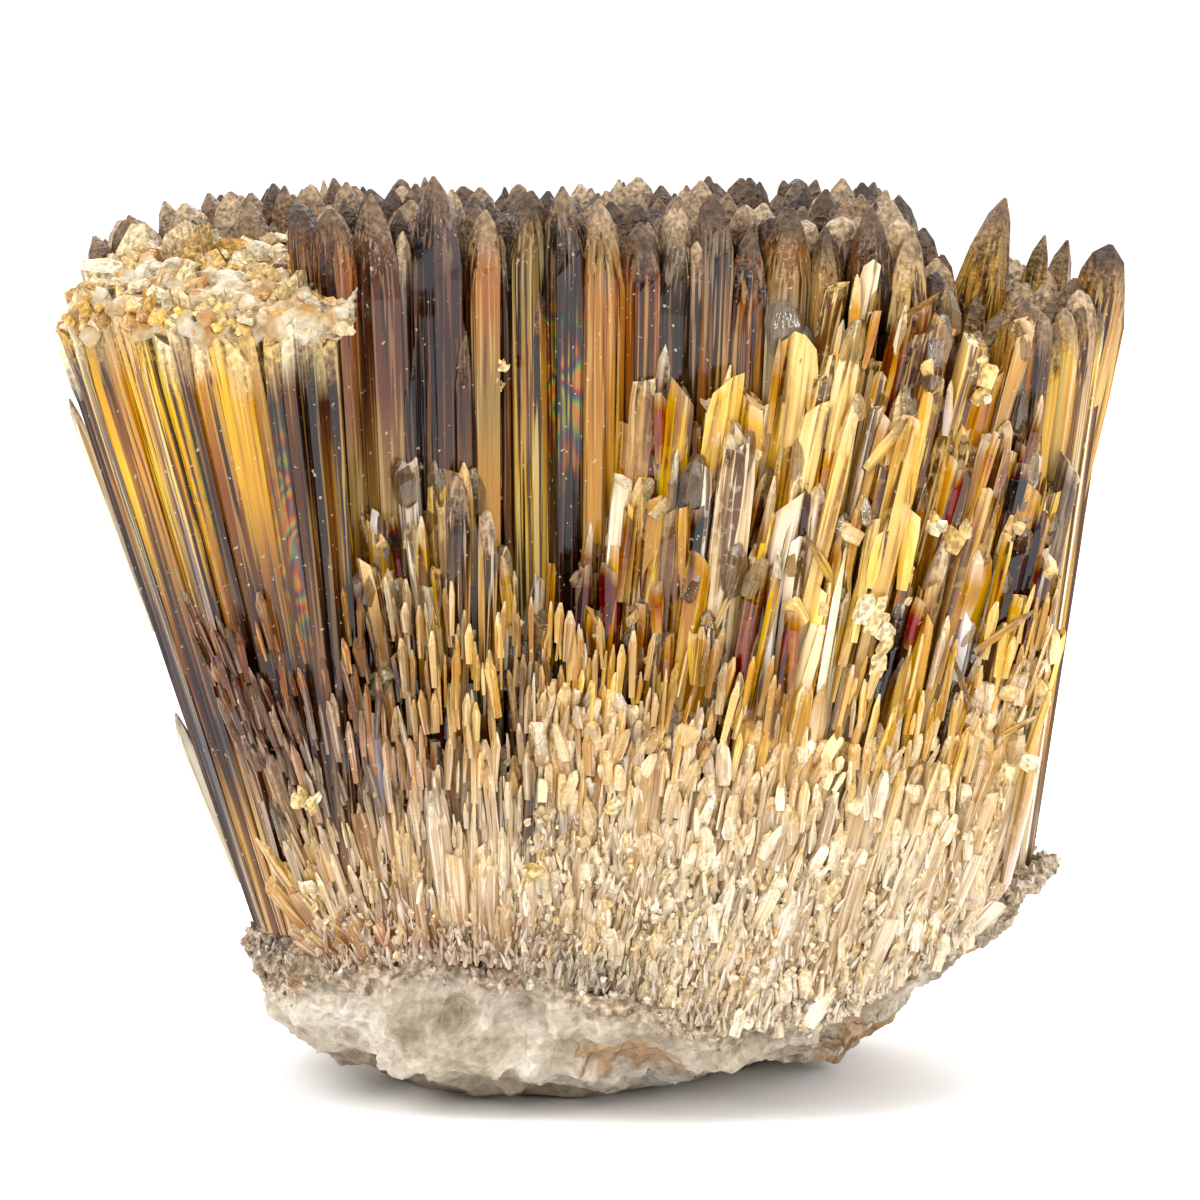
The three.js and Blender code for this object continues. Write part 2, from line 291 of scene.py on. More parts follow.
def frontOf(x, plan):  # y of a plan's front edge at x
    side = min(abs((x - plan["x"]) / plan["halfWidth"]), 1) ** plan["power"]
    return plan["y"] - plan["halfDepth"] * (1 - side) ** (1 / plan["power"])


def planShare(x, y, plan, inward=0.0):  # 0 in the middle of a plan and 1 on its edge
    acrossShare = abs((x - plan["x"]) / (plan["halfWidth"] - inward)) ** plan["power"]
    depthShare = abs((y - plan["y"]) / (plan["halfDepth"] - inward)) ** plan["power"]
    return (acrossShare + depthShare) ** (1 / plan["power"])


def footOf(x, y):
    return along(footXs, x), crown["y"] + (y - crown["y"]) * footDepthShare


def onFanLine(x, y, z):  # the place at height z on the line of the column that passes the crown at x, y
    footX, footY = footOf(x, y)
    share = z / crown["level"]
    return Vector((footX + (x - footX) * share, footY + (y - footY) * share, z))


def crownTop(x, y):
    across = (y - crown["y"]) / crown["halfDepth"]
    fall = crownFall["front"] if across < 0 else crownFall["back"]
    return along(crownTops, x) - fall * across * across


# Where each kind of colour lies on the fan: place by x and height, reach, colours, weight, and whether it is
# only on the columns that stand back

amberRamp = shades((70, 30, 6), (146, 84, 8), (208, 146, 10), (242, 196, 20), (250, 220, 92))
smokyRamp = shades((28, 8, 4), (48, 16, 8), (72, 28, 12), (150, 76, 6), (54, 24, 20))
mixedRamp = shades((70, 36, 8), (128, 78, 12), (178, 124, 20), (210, 162, 46), (234, 198, 96))
paleRamp = shades((96, 50, 10), (146, 88, 16), (188, 132, 34), (214, 168, 70), (236, 202, 130))
sugarRamp = shades((150, 118, 78), (180, 154, 116), (202, 183, 155), (224, 214, 198))
bronzeRamp = shades((56, 26, 8), (104, 60, 14), (152, 98, 18), (200, 148, 34), (236, 204, 104))
crownRamp = shades((38, 22, 12), (64, 40, 22), (98, 68, 40), (136, 102, 64))
rustRamp = shades((76, 28, 14), (112, 50, 26), (150, 96, 46), (190, 146, 88))
colourZones = [
    ((-45, 73), (12, 13), amberRamp, 1, False),
    ((-60, 66), (6, 34), smokyRamp, 1, False),
    ((-40, 45), (17, 14), smokyRamp, 2.4, False),
    ((-19, 83), (12, 17), smokyRamp, 2.2, True),
    ((-15, 58), (10, 10), mixedRamp, 1, False),
    ((-3, 66), (8, 24), bronzeRamp, 1, False),
    ((14, 85), (12, 13), smokyRamp, 3.0, True),
    ((-10, 101), (70, 7), crownRamp, 1.5, True),
    ((16, 62), (12, 18), mixedRamp, 1, False),
    ((30, 78), (11, 18), paleRamp, 1, False),
    ((32, 50), (12, 12), mixedRamp, 1, False),
    ((51, 70), (9, 26), mixedRamp, 1, False),
    ((12, 23), (34, 10), sugarRamp, 1, False),
    ((-34, 28), (12, 7), mixedRamp, 1, False),
    ((-24, 20), (16, 4), rustRamp, 2.5, False),
    ((1, 16), (4, 3), crownRamp, 2.5, False),
    ((24, 58), (7, 9), bronzeRamp, 1.2, False),
]
glintZones = [  # small painted rainbow glints inside the clear crystals
    ((-42, 64), (2.6, 6)), ((-31, 70), (1.6, 14)), ((-2, 80), (1.4, 6)), ((-11, 77), (1.0, 7)),
]
frostColours = {
    "tip": shades((58, 40, 26), (96, 72, 48), (140, 113, 82), (178, 152, 118)),
    "break": shades((200, 156, 80), (222, 192, 132), (238, 224, 190)),
    "rock": shades((116, 96, 78), (158, 138, 116), (200, 186, 168), (226, 216, 200)),
}
creamLight = (1, 0.93, 0.72)


def nearness(x, z, at, reach):
    across = (x - at[0]) / reach[0]
    upward = (z - at[1]) / reach[1]
    return math.exp(-across * across - upward * upward)


def calciteColour(x, z, mood, inFront):
    total = 0.0
    colour = (0.0, 0.0, 0.0)
    for at, reach, ramp, strength, behind in colourZones:
        if inFront and behind:
            continue
        weight = strength * nearness(x, z, at, reach) + 1e-5
        colour = tuple(sofar + weight * part for sofar, part in zip(colour, fromRamp(ramp, mood)))
        total += weight
    return tuple(part / total for part in colour)


def glintShare(x, z):
    return max(nearness(x, z, at, reach) for at, reach in glintZones)


def patchMood(spot, reach, swing, own):  # crystals that stand together have much the same colour
    return 0.5 + swing * noise.noise(Vector((spot.x, spot.y, spot.z * 0.4)) / reach) + eitherWay(own)


# Crystals are modelled once for each kind, and then copied. Each kind has its sides, its width, the length of
# its tip, and its rings from the foot: height, width share, and then frost and how far every second corner
# drops, which are 0 where they are left out.

brokenShaft = [(0, 0.6, 0.1), (14, 0.7), (28, 0.78), (40, 0.85), (52, 0.9)]
crystalKinds = {
    "pointed": (6, 4.6, 8, [
        (0, 0.62, 0.1), (12, 0.69), (24, 0.76), (37, 0.83), (50, 0.9),
        (64, 0.95), (77, 1, 0.02), (80.4, 0.99, 0.15, 1.8),
        (82.8, 0.84, 0.5, 1.0), (84.8, 0.55, 0.9, 0.5), (86, 0.08, 1)]),
    "sharp": (6, 4.6, 10, [
        (0, 0.62, 0.1), (13, 0.7), (26, 0.78), (38, 0.86), (52, 0.92),
        (64, 0.96), (75, 1, 0.02), (79, 0.98, 0.15, 2.4),
        (82, 0.78, 0.45, 1.2), (84.4, 0.44, 0.9, 0.4), (86, 0.06, 1)]),
    "blunt": (6, 5, 6, [
        (0, 0.64, 0.1), (26, 0.78), (52, 0.92), (79.5, 1, 0.05), (82, 0.99, 0.3, 1.4),
        (84.2, 0.82, 0.7, 1.2), (85.5, 0.5, 1, 0.4), (86, 0.12, 1)]),
    "stub": (6, 4.8, 8, [
        (0, 0.92, 0.1), (9, 1, 0.1), (12, 0.98, 0.2, 1.6), (14.6, 0.84, 0.5, 1), (16.7, 0.52, 0.9, 0.4),
        (18, 0.08, 1)]),
    "brokenTall": (6, 4.4, 4, brokenShaft + [(68, 0.96), (83, 1), (86, 0.9, 0.35, 1.2)]),
    "brokenCream": (6, 4.4, 7, brokenShaft + [
        (66, 0.96), (79, 1), (83, 1, 0.45, 0.8), (86, 0.94, 0.95, 1.2)]),
    "brokenStub": (6, 4.4, 4, [(0, 0.94, 0.1), (14, 1, 0.2), (18, 0.96, 0.75, 1.2)]),
    "brokenShort": (6, 3.6, 3, [
        (0, 0.6, 0.2), (12, 0.74, 0.05), (26, 0.88), (38, 1), (40, 0.86, 0.35, 1)]),
    "rod": (5, 1.8, 3, [
        (0, 0.7, 0.2), (18, 0.85), (36, 1), (40, 0.7, 0.4, 0.5), (42, 0.2, 0.7)]),
    "splinter": (4, 2.0, 4, [
        (0, 0.7, 0.4), (12, 0.9, 0.1), (20, 1, 0.1), (23, 0.66, 0.6, 0.8), (24, 0.12, 0.9)]),
    "needle": (5, 1.5, 3, [(0, 0.8, 0.2), (9, 1, 0.1), (14.6, 0.9, 0.4, 0.4), (16, 0.4, 0.8)]),
    "fibre": (4, 1.0, 1.2, [(0, 0.7, 0.1), (6.6, 1, 0.1, 0.2), (8, 0.3, 0.6)]),
    "spindle": (6, 7, 26, [
        (0, 0.5, 0.1), (20, 0.8), (31, 0.97), (40, 1), (46, 0.88, 0.1, 2),
        (51, 0.66, 0.35, 1.5), (55, 0.36, 0.75, 0.5), (57, 0.05, 1)]),
    "block": (5, 3, 3, [
        (0, 0.4, 0.1), (1.2, 0.95, 0, 0.5), (4, 1.05, 0, 0.6), (5.4, 0.75, 0.1, 0.5), (6, 0.3, 0.2)]),
    "chip": (4, 2, 0.5, [(0, 0.9, 0.4), (1.5, 1.05, 0.4, 0.4), (2.0, 0.75, 0.6, 0.3)]),
    "grain": (5, 1.4, 0.8, [(0, 0.9, 0.8), (1.1, 1, 0.8, 0.2), (1.8, 0.5, 0.9), (2.0, 0.1, 1)]),
}
crystalMarks = [
    ("tint", "FLOAT_VECTOR", "POINT"), ("frost", "FLOAT", "POINT"), ("facet", "FLOAT", "FACE"),
    ("glint", "FLOAT", "POINT"), ("ownPlace", "FLOAT_VECTOR", "POINT"),
]
breakInset = {"rim": 0.3, "sink": 0.12}


def sectorOf(x, y, count, cut=0):  # which of the sectors round the crystal a spot lies in
    return int((math.atan2(y, x) / math.tau + 0.5) * count - cut)


def chooseTop(edited):
    mesh = bmesh.from_edit_mesh(edited.data)
    for face in mesh.faces:
        face.select_set(face.normal.z > 0.9)
    bmesh.update_edit_mesh(edited.data)


def chooseSecondCorners(edited, height, sides):
    bpy.ops.mesh.select_mode(type="VERT")
    bpy.ops.mesh.select_all(action="DESELECT")
    mesh = bmesh.from_edit_mesh(edited.data)
    for corner in mesh.verts:
        second = round(math.atan2(corner.co.x, corner.co.y) / math.tau * sides) % 2 == 0
        corner.select_set(abs(corner.co.z - height) < 1e-6 and second)
    bmesh.update_edit_mesh(edited.data)


def growCrystal(kind):
    sides, width, tip, rings = crystalKinds[kind]
    rings = [(*ring, 0, 0)[:4] for ring in rings]
    radius = width * mm / 2
    firstHeight = rings[1][0] * mm
    bpy.ops.object.select_all(action="DESELECT")
    bpy.ops.mesh.primitive_cylinder_add(
        vertices=sides, radius=radius * rings[0][1], depth=firstHeight, location=(0, 0, firstHeight / 2)
    )
    grown = bpy.context.object
    grown.name = kind
    bpy.ops.object.transform_apply(location=True, rotation=True, scale=True)
    bpy.ops.object.mode_set(mode="EDIT")
    bpy.ops.mesh.select_mode(type="FACE")
    chooseTop(grown)
    for below, ring in zip(rings, rings[1:]):
        if below[0] > 0:
            rise = (ring[0] - below[0]) * mm
            bpy.ops.mesh.extrude_region_move(TRANSFORM_OT_translate={"value": (0, 0, rise)})
        narrowing = ring[1] / below[1]
        bpy.ops.transform.resize(value=(narrowing, narrowing, 1), center_override=(0, 0, ring[0] * mm))
    broken = "broken" in kind
    if broken:
        bpy.ops.mesh.inset(thickness=radius * breakInset["rim"], depth=-radius * breakInset["sink"])
    for height, _, _, drop in rings:
        if drop and not (broken and height == rings[-1][0]):
            chooseSecondCorners(grown, height * mm, sides)
            bpy.ops.transform.translate(value=(0, 0, -drop * mm))
    bpy.ops.object.mode_set(mode="OBJECT")
    mesh = grown.data
    for name, values, carrier in crystalMarks:
        mesh.attributes.new(name, values, carrier)
    mesh.uv_layers.remove(mesh.uv_layers[0])
    bpy.data.objects.remove(grown)
    return {
        "mesh": mesh, "sides": sides, "length": rings[-1][0], "tip": tip, "width": width, "broken": broken,
        "sideOf": [sectorOf(face.center.x, face.center.y, sides, 0.001) for face in mesh.polygons],
        "places": [tuple(vertex.co / mm) for vertex in mesh.vertices],
        "frosts": [(ring[0], ring[2]) for ring in rings],
    }


patterns = {kind: growCrystal(kind) for kind in crystalKinds}
print("crystal patterns", {kind: len(pattern["places"]) for kind, pattern in patterns.items()})

batches = {}
frontBatches = [
    "brokenColumns", "splinters", "brokenBlocks", "lowColumns", "paleFibres", "sugarCrystals", "whiteNeedles",
]
boxMargin = 0.05
leastSpot = [part / mm + boxMargin for part in cadBox[0]]
mostSpot = [part / mm - boxMargin for part in cadBox[1]]
crystalHabit = {
    "flat": (0.72, 1.15), "rainbowGlinting": 0.6, "slope": 1.2, "lean": 0.07, "uneven": (0.78, 1.2), "leastShaft": 0.35,
    "driftReach": 15, "frosting": 1.1, "leastLength": 0.4,
}


def inside(spot, least, most):
    return [min(max(part, low), high) for part, low, high in zip(spot, least, most)]


def stamp(batch, pattern, spots, tints, owns):
    mesh = pattern["mesh"].copy()
    mesh.vertices.foreach_set("co", [part * mm for spot in spots for part in spot])
    marks = mesh.attributes
    marks["tint"].data.foreach_set("vector", [part for tint in tints for part in tint[:3]])
    marks["frost"].data.foreach_set("value", [tint[3] for tint in tints])
    marks["glint"].data.foreach_set("value", [tint[4] for tint in tints])
    # one random value per side: it shifts that side's stripes and sets its painted facet light and shade
    facetShadeAndShift = [dice.random() for _ in range(pattern["sides"] + 1)]
    marks["facet"].data.foreach_set("value", [facetShadeAndShift[side] for side in pattern["sideOf"]])
    marks["ownPlace"].data.foreach_set("vector", [part for own in owns for part in own])
    batches.setdefault(batch, []).append(mesh)


def addCrystal(batch, kind, foot, head, width, **choice):
    pattern = patterns[kind]
    axis = head - foot
    length = axis.length
    if length < crystalHabit["leastLength"]:
        return
    mood = choice.get("mood", dice.random())
    frost = choice.get("frost", 0.0)
    flat = choice.get("flat", between(*crystalHabit["flat"]))
    turn = choice.get("turn", between(0, math.tau))
    frosting = fromRamp(frostColours[choice.get("frosting", "tip")], dice.random())
    paler = choice.get("paler", 0.0)
    waving = choice.get("waving", 0.5)
    inFront = choice.get("front", batch in frontBatches)
    # whether this crystal takes painted rainbow glints
    rainbowGlinting = dice.random() < crystalHabit["rainbowGlinting"]
    steep = crystalHabit["slope"]
    slope = (eitherWay(steep), eitherWay(steep)) if pattern["broken"] else (0, 0)
    lean = (eitherWay(crystalHabit["lean"]), eitherWay(crystalHabit["lean"]))
    offset = (dice.random(), dice.random(), dice.random())
    waver = [between(*crystalHabit["uneven"]) for _ in range(7)]
    upright = Vector((0, 0, 1)).rotation_difference(axis)
    thick = width / pattern["width"]
    shaft = pattern["length"] - pattern["tip"]
    newShaft = max(length - pattern["tip"], length * crystalHabit["leastShaft"])
    tipStretch = (length - newShaft) / pattern["tip"]
    sinTurn, cosTurn = math.sin(turn), math.cos(turn)
    rim = {}
    spots, tints, owns = [], [], []
    for x0, y0, z0 in pattern["places"]:
        past = max(z0 - shaft, 0)
        z = z0 * newShaft / shaft if z0 < shaft else newShaft + past * tipStretch
        side = waver[sectorOf(x0, y0, 6.99)]
        x = x0 * thick * side + past * lean[0]
        y = (y0 * thick * side + past * lean[1]) * flat
        x, y = x * cosTurn - y * sinTurn, x * sinTurn + y * cosTurn
        if past > 0.5 and pattern["broken"]:
            z += slope[0] * x + slope[1] * y
        spot = foot + upright @ Vector((x, y, z))
        key = round(z0 / 2)
        if key not in rim:
            frosted = min(along(pattern["frosts"], z0) + frost, 1)
            patch = Vector((offset[0] * 50, offset[1] * 50, spot.z / crystalHabit["driftReach"]))
            colour = calciteColour(spot.x, spot.z, mood + noise.noise(patch) * waving, inFront)
            colour = mixed(colour, creamLight, paler)
            colour = mixed(colour, frosting, min(frosted * crystalHabit["frosting"], 1))
            rim[key] = (*colour, frosted, glintShare(spot.x, spot.z) if rainbowGlinting else 0.0)
        tints.append(rim[key])
        owns.append((x * mm + offset[0], y * mm + offset[1], z * mm + offset[2]))
        spots.append(inside((spot.x + fanShift[0], spot.y + fanShift[1], spot.z), leastSpot, mostSpot))
    stamp(batch, pattern, spots, tints, owns)


def layCrystal(batch, kind, spot, stick, shares, width, **choice):  # shares: below and above the spot
    addCrystal(batch, kind, spot - stick * shares[0], spot + stick * shares[1], width, **choice)


def joinBatch(name, material):
    bpy.ops.object.select_all(action="DESELECT")
    for number, mesh in enumerate(batches[name]):
        copy = bpy.data.objects.new(name + str(number), mesh)
        bpy.context.scene.collection.objects.link(copy)
        copy.select_set(True)
        bpy.context.view_layer.objects.active = copy
    bpy.ops.object.join()
    piece = bpy.context.object
    piece.name = name
    piece.data.name = name
    piece.data.materials.clear()
    piece.data.materials.append(material)
    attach(piece, "root")
    print(name, len(batches[name]), "crystals", len(piece.data.polygons), "faces")
    return piece


# The crown's crystals: two clear rows round the edge, opaque ones behind them, and stubs in the middle

crownRows = [  # how far in, pitch, least and most width, batch
    (0.1, 2.1, (2.2, 4.6), "edgeColumns"), (2.2, 2.8, (3.0, 5.6), "edgeColumns"),
    (5.0, 3.0, (4.4, 6.4), "deepColumns"), (8.6, 3.6, (5.0, 7.0), "deepColumns"),
]
crownHabit = {"inset": 0.46, "uneven": (-2.2, 2.0), "deepDrop": 9, "ledgeUneven": (-2.2, 0.8), "ledgeDrop": 5}
crownStubs = {"pitch": 4.5, "width": 4.9, "inside": 5.5, "uneven": 2.2, "behindRow": 17.5, "length": 18}


def walkPlan(inward, pitch):  # spots round the fan's plan, each with the angle that its wall faces
    steps = 1440
    spots = []
    walked = 0.0
    last = None
    halfWidth = crown["halfWidth"] - inward
    halfDepth = crown["halfDepth"] - inward
    power = crown["power"]
    wait = pitch
    for step in range(steps + 1):
        angle = math.tau * step / steps
        direction = Vector((math.cos(angle), math.sin(angle)))
        across = abs(direction.x / halfWidth) ** power
        reach = (across + abs(direction.y / halfDepth) ** power) ** (-1 / power)
        spot = direction * reach
        if last is not None:
            walked += (spot - last).length
        last = spot
        if walked >= wait:
            walked = 0.0
            wait = pitch * between(0.75, 1.25)
            outX = math.copysign(abs(spot.x / halfWidth) ** (power - 1) / halfWidth, spot.x)
            outY = math.copysign(abs(spot.y / halfDepth) ** (power - 1) / halfDepth, spot.y)
            spots.append((spot.x + crown["x"], spot.y + crown["y"], math.atan2(outY, outX)))
    return spots


def facing(outward):  # the turn that sets one flat of a six-sided column to the wall's face
    return outward + math.radians(eitherWay(30))


def ledgeTop(x, y, depth):
    return min(leftLedge["height"] + leftLedge["rise"] * depth, crownTop(x, y) - 2.5)


def onLedge(x, depth):
    return x < leftLedge["right"] and depth < leftLedge["depth"]


def inSetBack(x):
    return setBack["left"] < x < setBack["right"]


def addColumn(batch, kind, x, y, top, width, bottom=None, **choice):
    start = along(rockTops, footOf(x, y)[0]) + 0.2 if bottom is None else bottom
    addCrystal(batch, kind, onFanLine(x, y, start), onFanLine(x, y, top), width, **choice)


def growEdge():
    for inward, pitch, widths, batch in crownRows:
        deep = batch == "deepColumns"
        for x, y, outward in walkPlan(inward, pitch):
            width = between(*widths)
            inset = width * crownHabit["inset"] + between(0, 0.7)
            x -= math.cos(outward) * inset
            y -= math.sin(outward) * inset
            depth = y - frontOf(x, crown)
            if inSetBack(x) and depth < setBack["hidden"]:
                continue
            turn = facing(outward)
            if onLedge(x, depth):
                top = ledgeTop(x, y, depth) + between(*crownHabit["ledgeUneven"])
                top -= crownHabit["ledgeDrop"] * deep
                addColumn(batch, "brokenCream", x, y, top, width, frosting="break", turn=turn, flat=1)
                continue
            top = crownTop(x, y) + between(*crownHabit["uneven"]) - crownHabit["deepDrop"] * deep
            kind = dice.choice(["pointed", "sharp", "blunt"])
            addColumn(batch, kind, x, y, top, width, turn=turn, flat=1)


def growStubs():
    pitch = crownStubs["pitch"]
    uneven = crownStubs["uneven"]
    length = crownStubs["length"]
    for row in range(-9, 10):
        for i in range(-15, 16):
            x = crown["x"] + (i + (0.5 if row % 2 else 0)) * pitch + eitherWay(0.8)
            y = crown["y"] + row * pitch * 0.866 + eitherWay(0.7)
            if planShare(x, y, crown, crownStubs["inside"]) > 1:
                continue
            depth = y - frontOf(x, crown)
            width = crownStubs["width"] * between(0.8, 1.3)
            if onLedge(x, depth):
                top = ledgeTop(x, y, depth) + between(-1.6, 1.4)
                addColumn("crownStubs", "brokenStub", x, y, top, width, top - length,
                          frosting="break", frost=0.1)
                continue
            if inSetBack(x) and depth < crownStubs["behindRow"]:
                continue
            top = crownTop(x, y) + eitherWay(uneven)
            addColumn("crownStubs", "stub", x, y, top, width, top - length)


growEdge()
growStubs()

# The front row that shows whole above the broken columns: its main tips along x, with their heights

frontRow = {
    "tips": [
        (-27.6, 98.5), (-23, 100), (-17, 102), (-11.8, 98.4), (-7, 100.4), (-2.8, 101), (0.8, 99.5), (5, 97),
        (9, 98.5), (12.6, 100), (16.6, 96.5), (20.6, 98.5), (25.2, 96.5), (29.4, 98.5), (33.6, 96),
        (37.4, 88), (42, 85), (46, 82),
    ],
    "depth": 9.4, "width": 5.2, "narrow": (1.8, 3.8), "narrowDrop": (1.5, 14),
    "behind": [  # depth, pitch, width, batch, how much lower
        (12.4, 3.6, 5.2, "frontColumns", 0), (15.0, 3.4, 5.0, "deepColumns", 9),
        (17.6, 4.0, 6.0, "deepColumns", 10),
    ],
}
toFront = -math.pi / 2


def growFrontRow():
    tips = frontRow["tips"]
    for (x, top), (nextX, nextTop) in zip(tips, tips[1:]):
        y = frontOf(x, crown) + frontRow["depth"] + eitherWay(0.5)
        kind = dice.choice(["sharp", "pointed"])
        width = frontRow["width"] * between(0.9, 1.2)
        addColumn("frontColumns", kind, x, y, top, width, turn=facing(toFront), flat=1)
        for share in (0.2, 0.4, 0.6, 0.8):
            inBetween = x + (nextX - x) * share + eitherWay(0.4)
            y = frontOf(inBetween, crown) + frontRow["depth"] + between(-0.8, 1.0)
            lower = min(top, nextTop) - between(*frontRow["narrowDrop"])
            addColumn("frontColumns", "pointed", inBetween, y, lower, between(*frontRow["narrow"]),
                      turn=facing(toFront), flat=1)
    for depth, pitch, width, batch, lower in frontRow["behind"]:
        x = setBack["left"] - 2
        while x < setBack["right"] + 2:
            y = frontOf(x, crown) + depth + eitherWay(0.5)
            top = crownTop(x, y) + between(-2, 2.4) - lower
            addColumn(batch, dice.choice(["pointed", "blunt"]), x, y, top, width * between(0.8, 1.2))
            x += pitch * between(0.8, 1.2)


growFrontRow()

# Rows of broken columns in front, from the back one to the front one. Tops are pairs of x and height.

topsHigh = [
    (-24, 72), (-14, 70), (-10, 65), (-8, 53), (-2, 55), (1, 69), (4, 71), (6, 81), (18, 80), (21, 88),
    (30, 87), (38, 82), (44, 75), (51, 66),
]
topsMiddle = [(-22, 52), (-10, 47), (0, 53), (8, 60), (16, 66), (24, 72), (32, 66), (40, 60), (50, 55)]
topsLow = [(-43, 25), (-32, 28), (-24, 34), (-16, 38), (0, 42), (12, 39), (24, 44), (36, 41), (50, 38)]
brokenRows = [  # how far in, left and right end, pitch, width, tops, how much lower, how uneven
    (10.4, -28, 50, 2.6, 4.2, topsHigh, 7, 2),
    (8.6, -25, 50, 2.1, 3.4, topsHigh, -1, 4),
    (7.2, -24, 50, 1.9, 3.0, topsHigh, 4, 5),
    (5.9, -23, 50, 1.7, 2.7, topsHigh, 11, 8),
    (4.7, -22, 49.5, 1.6, 2.5, topsMiddle, 0, 9),
    (3.5, -26, 50, 1.6, 2.3, topsMiddle, 9, 8),
    (3.0, -43, 50, 1.8, 3.2, topsLow, -1, 5),
    (2.4, -44, 50, 1.7, 2.9, topsLow, 4, 6),
    (1.9, -44, 50, 1.6, 2.6, topsLow, 9, 6),
    (1.4, -44, 50, 1.5, 2.4, topsLow, 14, 6),
]
brokenHabit = {
    "width": (0.6, 1.4), "pitch": (0.75, 1.2), "slim": 0.75, "slimLeftOf": 4, "wander": [0.02, 0.03, 0.1],
    "edge": 40, "edgeWander": 0.015, "paleShare": 0.13, "paler": (0.25, 0.6), "frostShare": 0.35,
    "frost": (-0.06, 0.14), "clean": -0.12,
    "kinds": ["brokenShort", "brokenTall", "brokenShort", "brokenTall", "brokenShort", "rod", "splinter"],
    "lowKinds": ["brokenShort", "brokenShort", "rod", "splinter"],
}
brokenHeads = []


def frontColumnEnds(x, inset, top, wander=0.0):
    footX = along(brokenFootXs, x) + eitherWay(0.6)
    footZ = along(rockTops, footX) - 1.2
    footY = frontOf(footX, rockPlan) + inset + eitherWay(0.5)
    headX = footX + (x - footX) * top / brokenLevel
    top = max(top, footZ + 3)
    foot = Vector((footX, footY, footZ))
    head = Vector((headX, footY - 0.03 * (top - footZ), top))
    head.x += eitherWay(wander) * (top - footZ)
    return foot, head


def lowFrost(spot):  # the dark part at the left keeps dark tips
    return "tip" if spot.x < -22 and spot.z > 32 else "break"


def growBrokenRows():
    for number, (inset, left, right, pitch, rowWidth, tops, drop, uneven) in enumerate(brokenRows):
        low = tops is topsLow
        x = left
        while x < right:
            top = along(tops, x) - drop + eitherWay(uneven)
            wander = brokenHabit["edgeWander"]
            if x < brokenHabit["edge"]:
                wander = dice.choice(brokenHabit["wander"])
            foot, head = frontColumnEnds(x, inset, top, wander)
            slim = brokenHabit["slim"] if x < brokenHabit["slimLeftOf"] and not low else 1
            width = rowWidth * between(*brokenHabit["width"]) * slim
            if number == 0:
                addCrystal("deepColumns", "brokenShort", foot, head, width, mood=between(0.2, 0.8),
                           front=True, frosting="break")
            elif low:
                addCrystal("lowColumns", dice.choice(brokenHabit["lowKinds"]), foot, head, width,
                           frost=between(-0.1, 0.15), frosting=lowFrost(head), turn=facing(toFront),
                           mood=patchMood(head, 6, 0.6, 0.1), waving=0.25)
            else:
                kind = dice.choice(brokenHabit["kinds"])
                pale = dice.random() < brokenHabit["paleShare"]
                paler = between(*brokenHabit["paler"]) if pale else 0.0
                frosted = dice.random() < brokenHabit["frostShare"]
                frost = between(*brokenHabit["frost"]) if frosted else brokenHabit["clean"]
                addCrystal("brokenColumns", kind, foot, head, width, frost=frost, frosting="break",
                           paler=paler, turn=facing(toFront), mood=patchMood(head, 7, 0.7, 0.15))
                brokenHeads.append(head)
            x += pitch * between(*brokenHabit["pitch"]) * slim


growBrokenRows()

# Fine needles, fibres, crumbs and sugary crystals above the rock, and chips on what is broken. The needles'
# rows say how far in they are, how much lower and how uneven.

needles = {"rows": [(2.2, 0, 5), (0.9, 10, 7)], "pitch": 2.2, "width": (0.7, 1.9)}
fibres = {"count": 1500, "height": 34, "length": (2, 7), "width": (0.4, 1.2)}
crumbs = {"count": 6000, "height": 17, "size": (0.3, 1.0), "stretch": 2.2, "thin": 0.34}
sugar = {"count": 1900, "height": 30, "length": (1.5, 5.2), "width": (0.7, 2.2)}
splinters = {"length": (5, 14), "width": (0.8, 2.4), "mostLean": 0.26, "paleShare": 0.16}
blocks = {"share": 0.55, "size": (2.2, 5.0), "width": 0.62}
chips = {
    "ledge": 520, "ledgeSize": (1.2, 3.2), "cream": 700, "creamSize": (0.5, 2.0), "size": (0.8, 2.6),
    "share": 0.3,
}
middle = (0.5, 0.5)


def growNeedles():
    for inset, drop, uneven in needles["rows"]:
        x = -44
        while x < 51:
            top = along(topsLow, x) - drop + 2 + eitherWay(uneven) * 1.5
            foot, head = frontColumnEnds(x, inset, top, 0.08)
            kind = dice.choice(["needle", "splinter"])
            addCrystal("whiteNeedles", kind, foot, head, between(*needles["width"]), frost=eitherWay(0.1),
                       frosting=lowFrost(head), mood=patchMood(head, 6, 0.5, 0.15), waving=0.2)
            x += needles["pitch"] * between(0.7, 1.3)


def anyWay(upward=0.0):
    way = Vector((dice.gauss(0, 1), dice.gauss(0, 1), dice.gauss(0, 1) + upward))
    return way.normalized()


def lowSpot(height, power, least=0.0):  # a place low on the broken front, and the way that its crystals run
    foot, head = frontColumnEnds(between(-46, 51), between(0.4, 2.2), brokenLevel)
    rise = least + height * dice.random() ** power
    return foot + (head - foot) * (rise / (brokenLevel - foot.z)), (head - foot).normalized(), rise


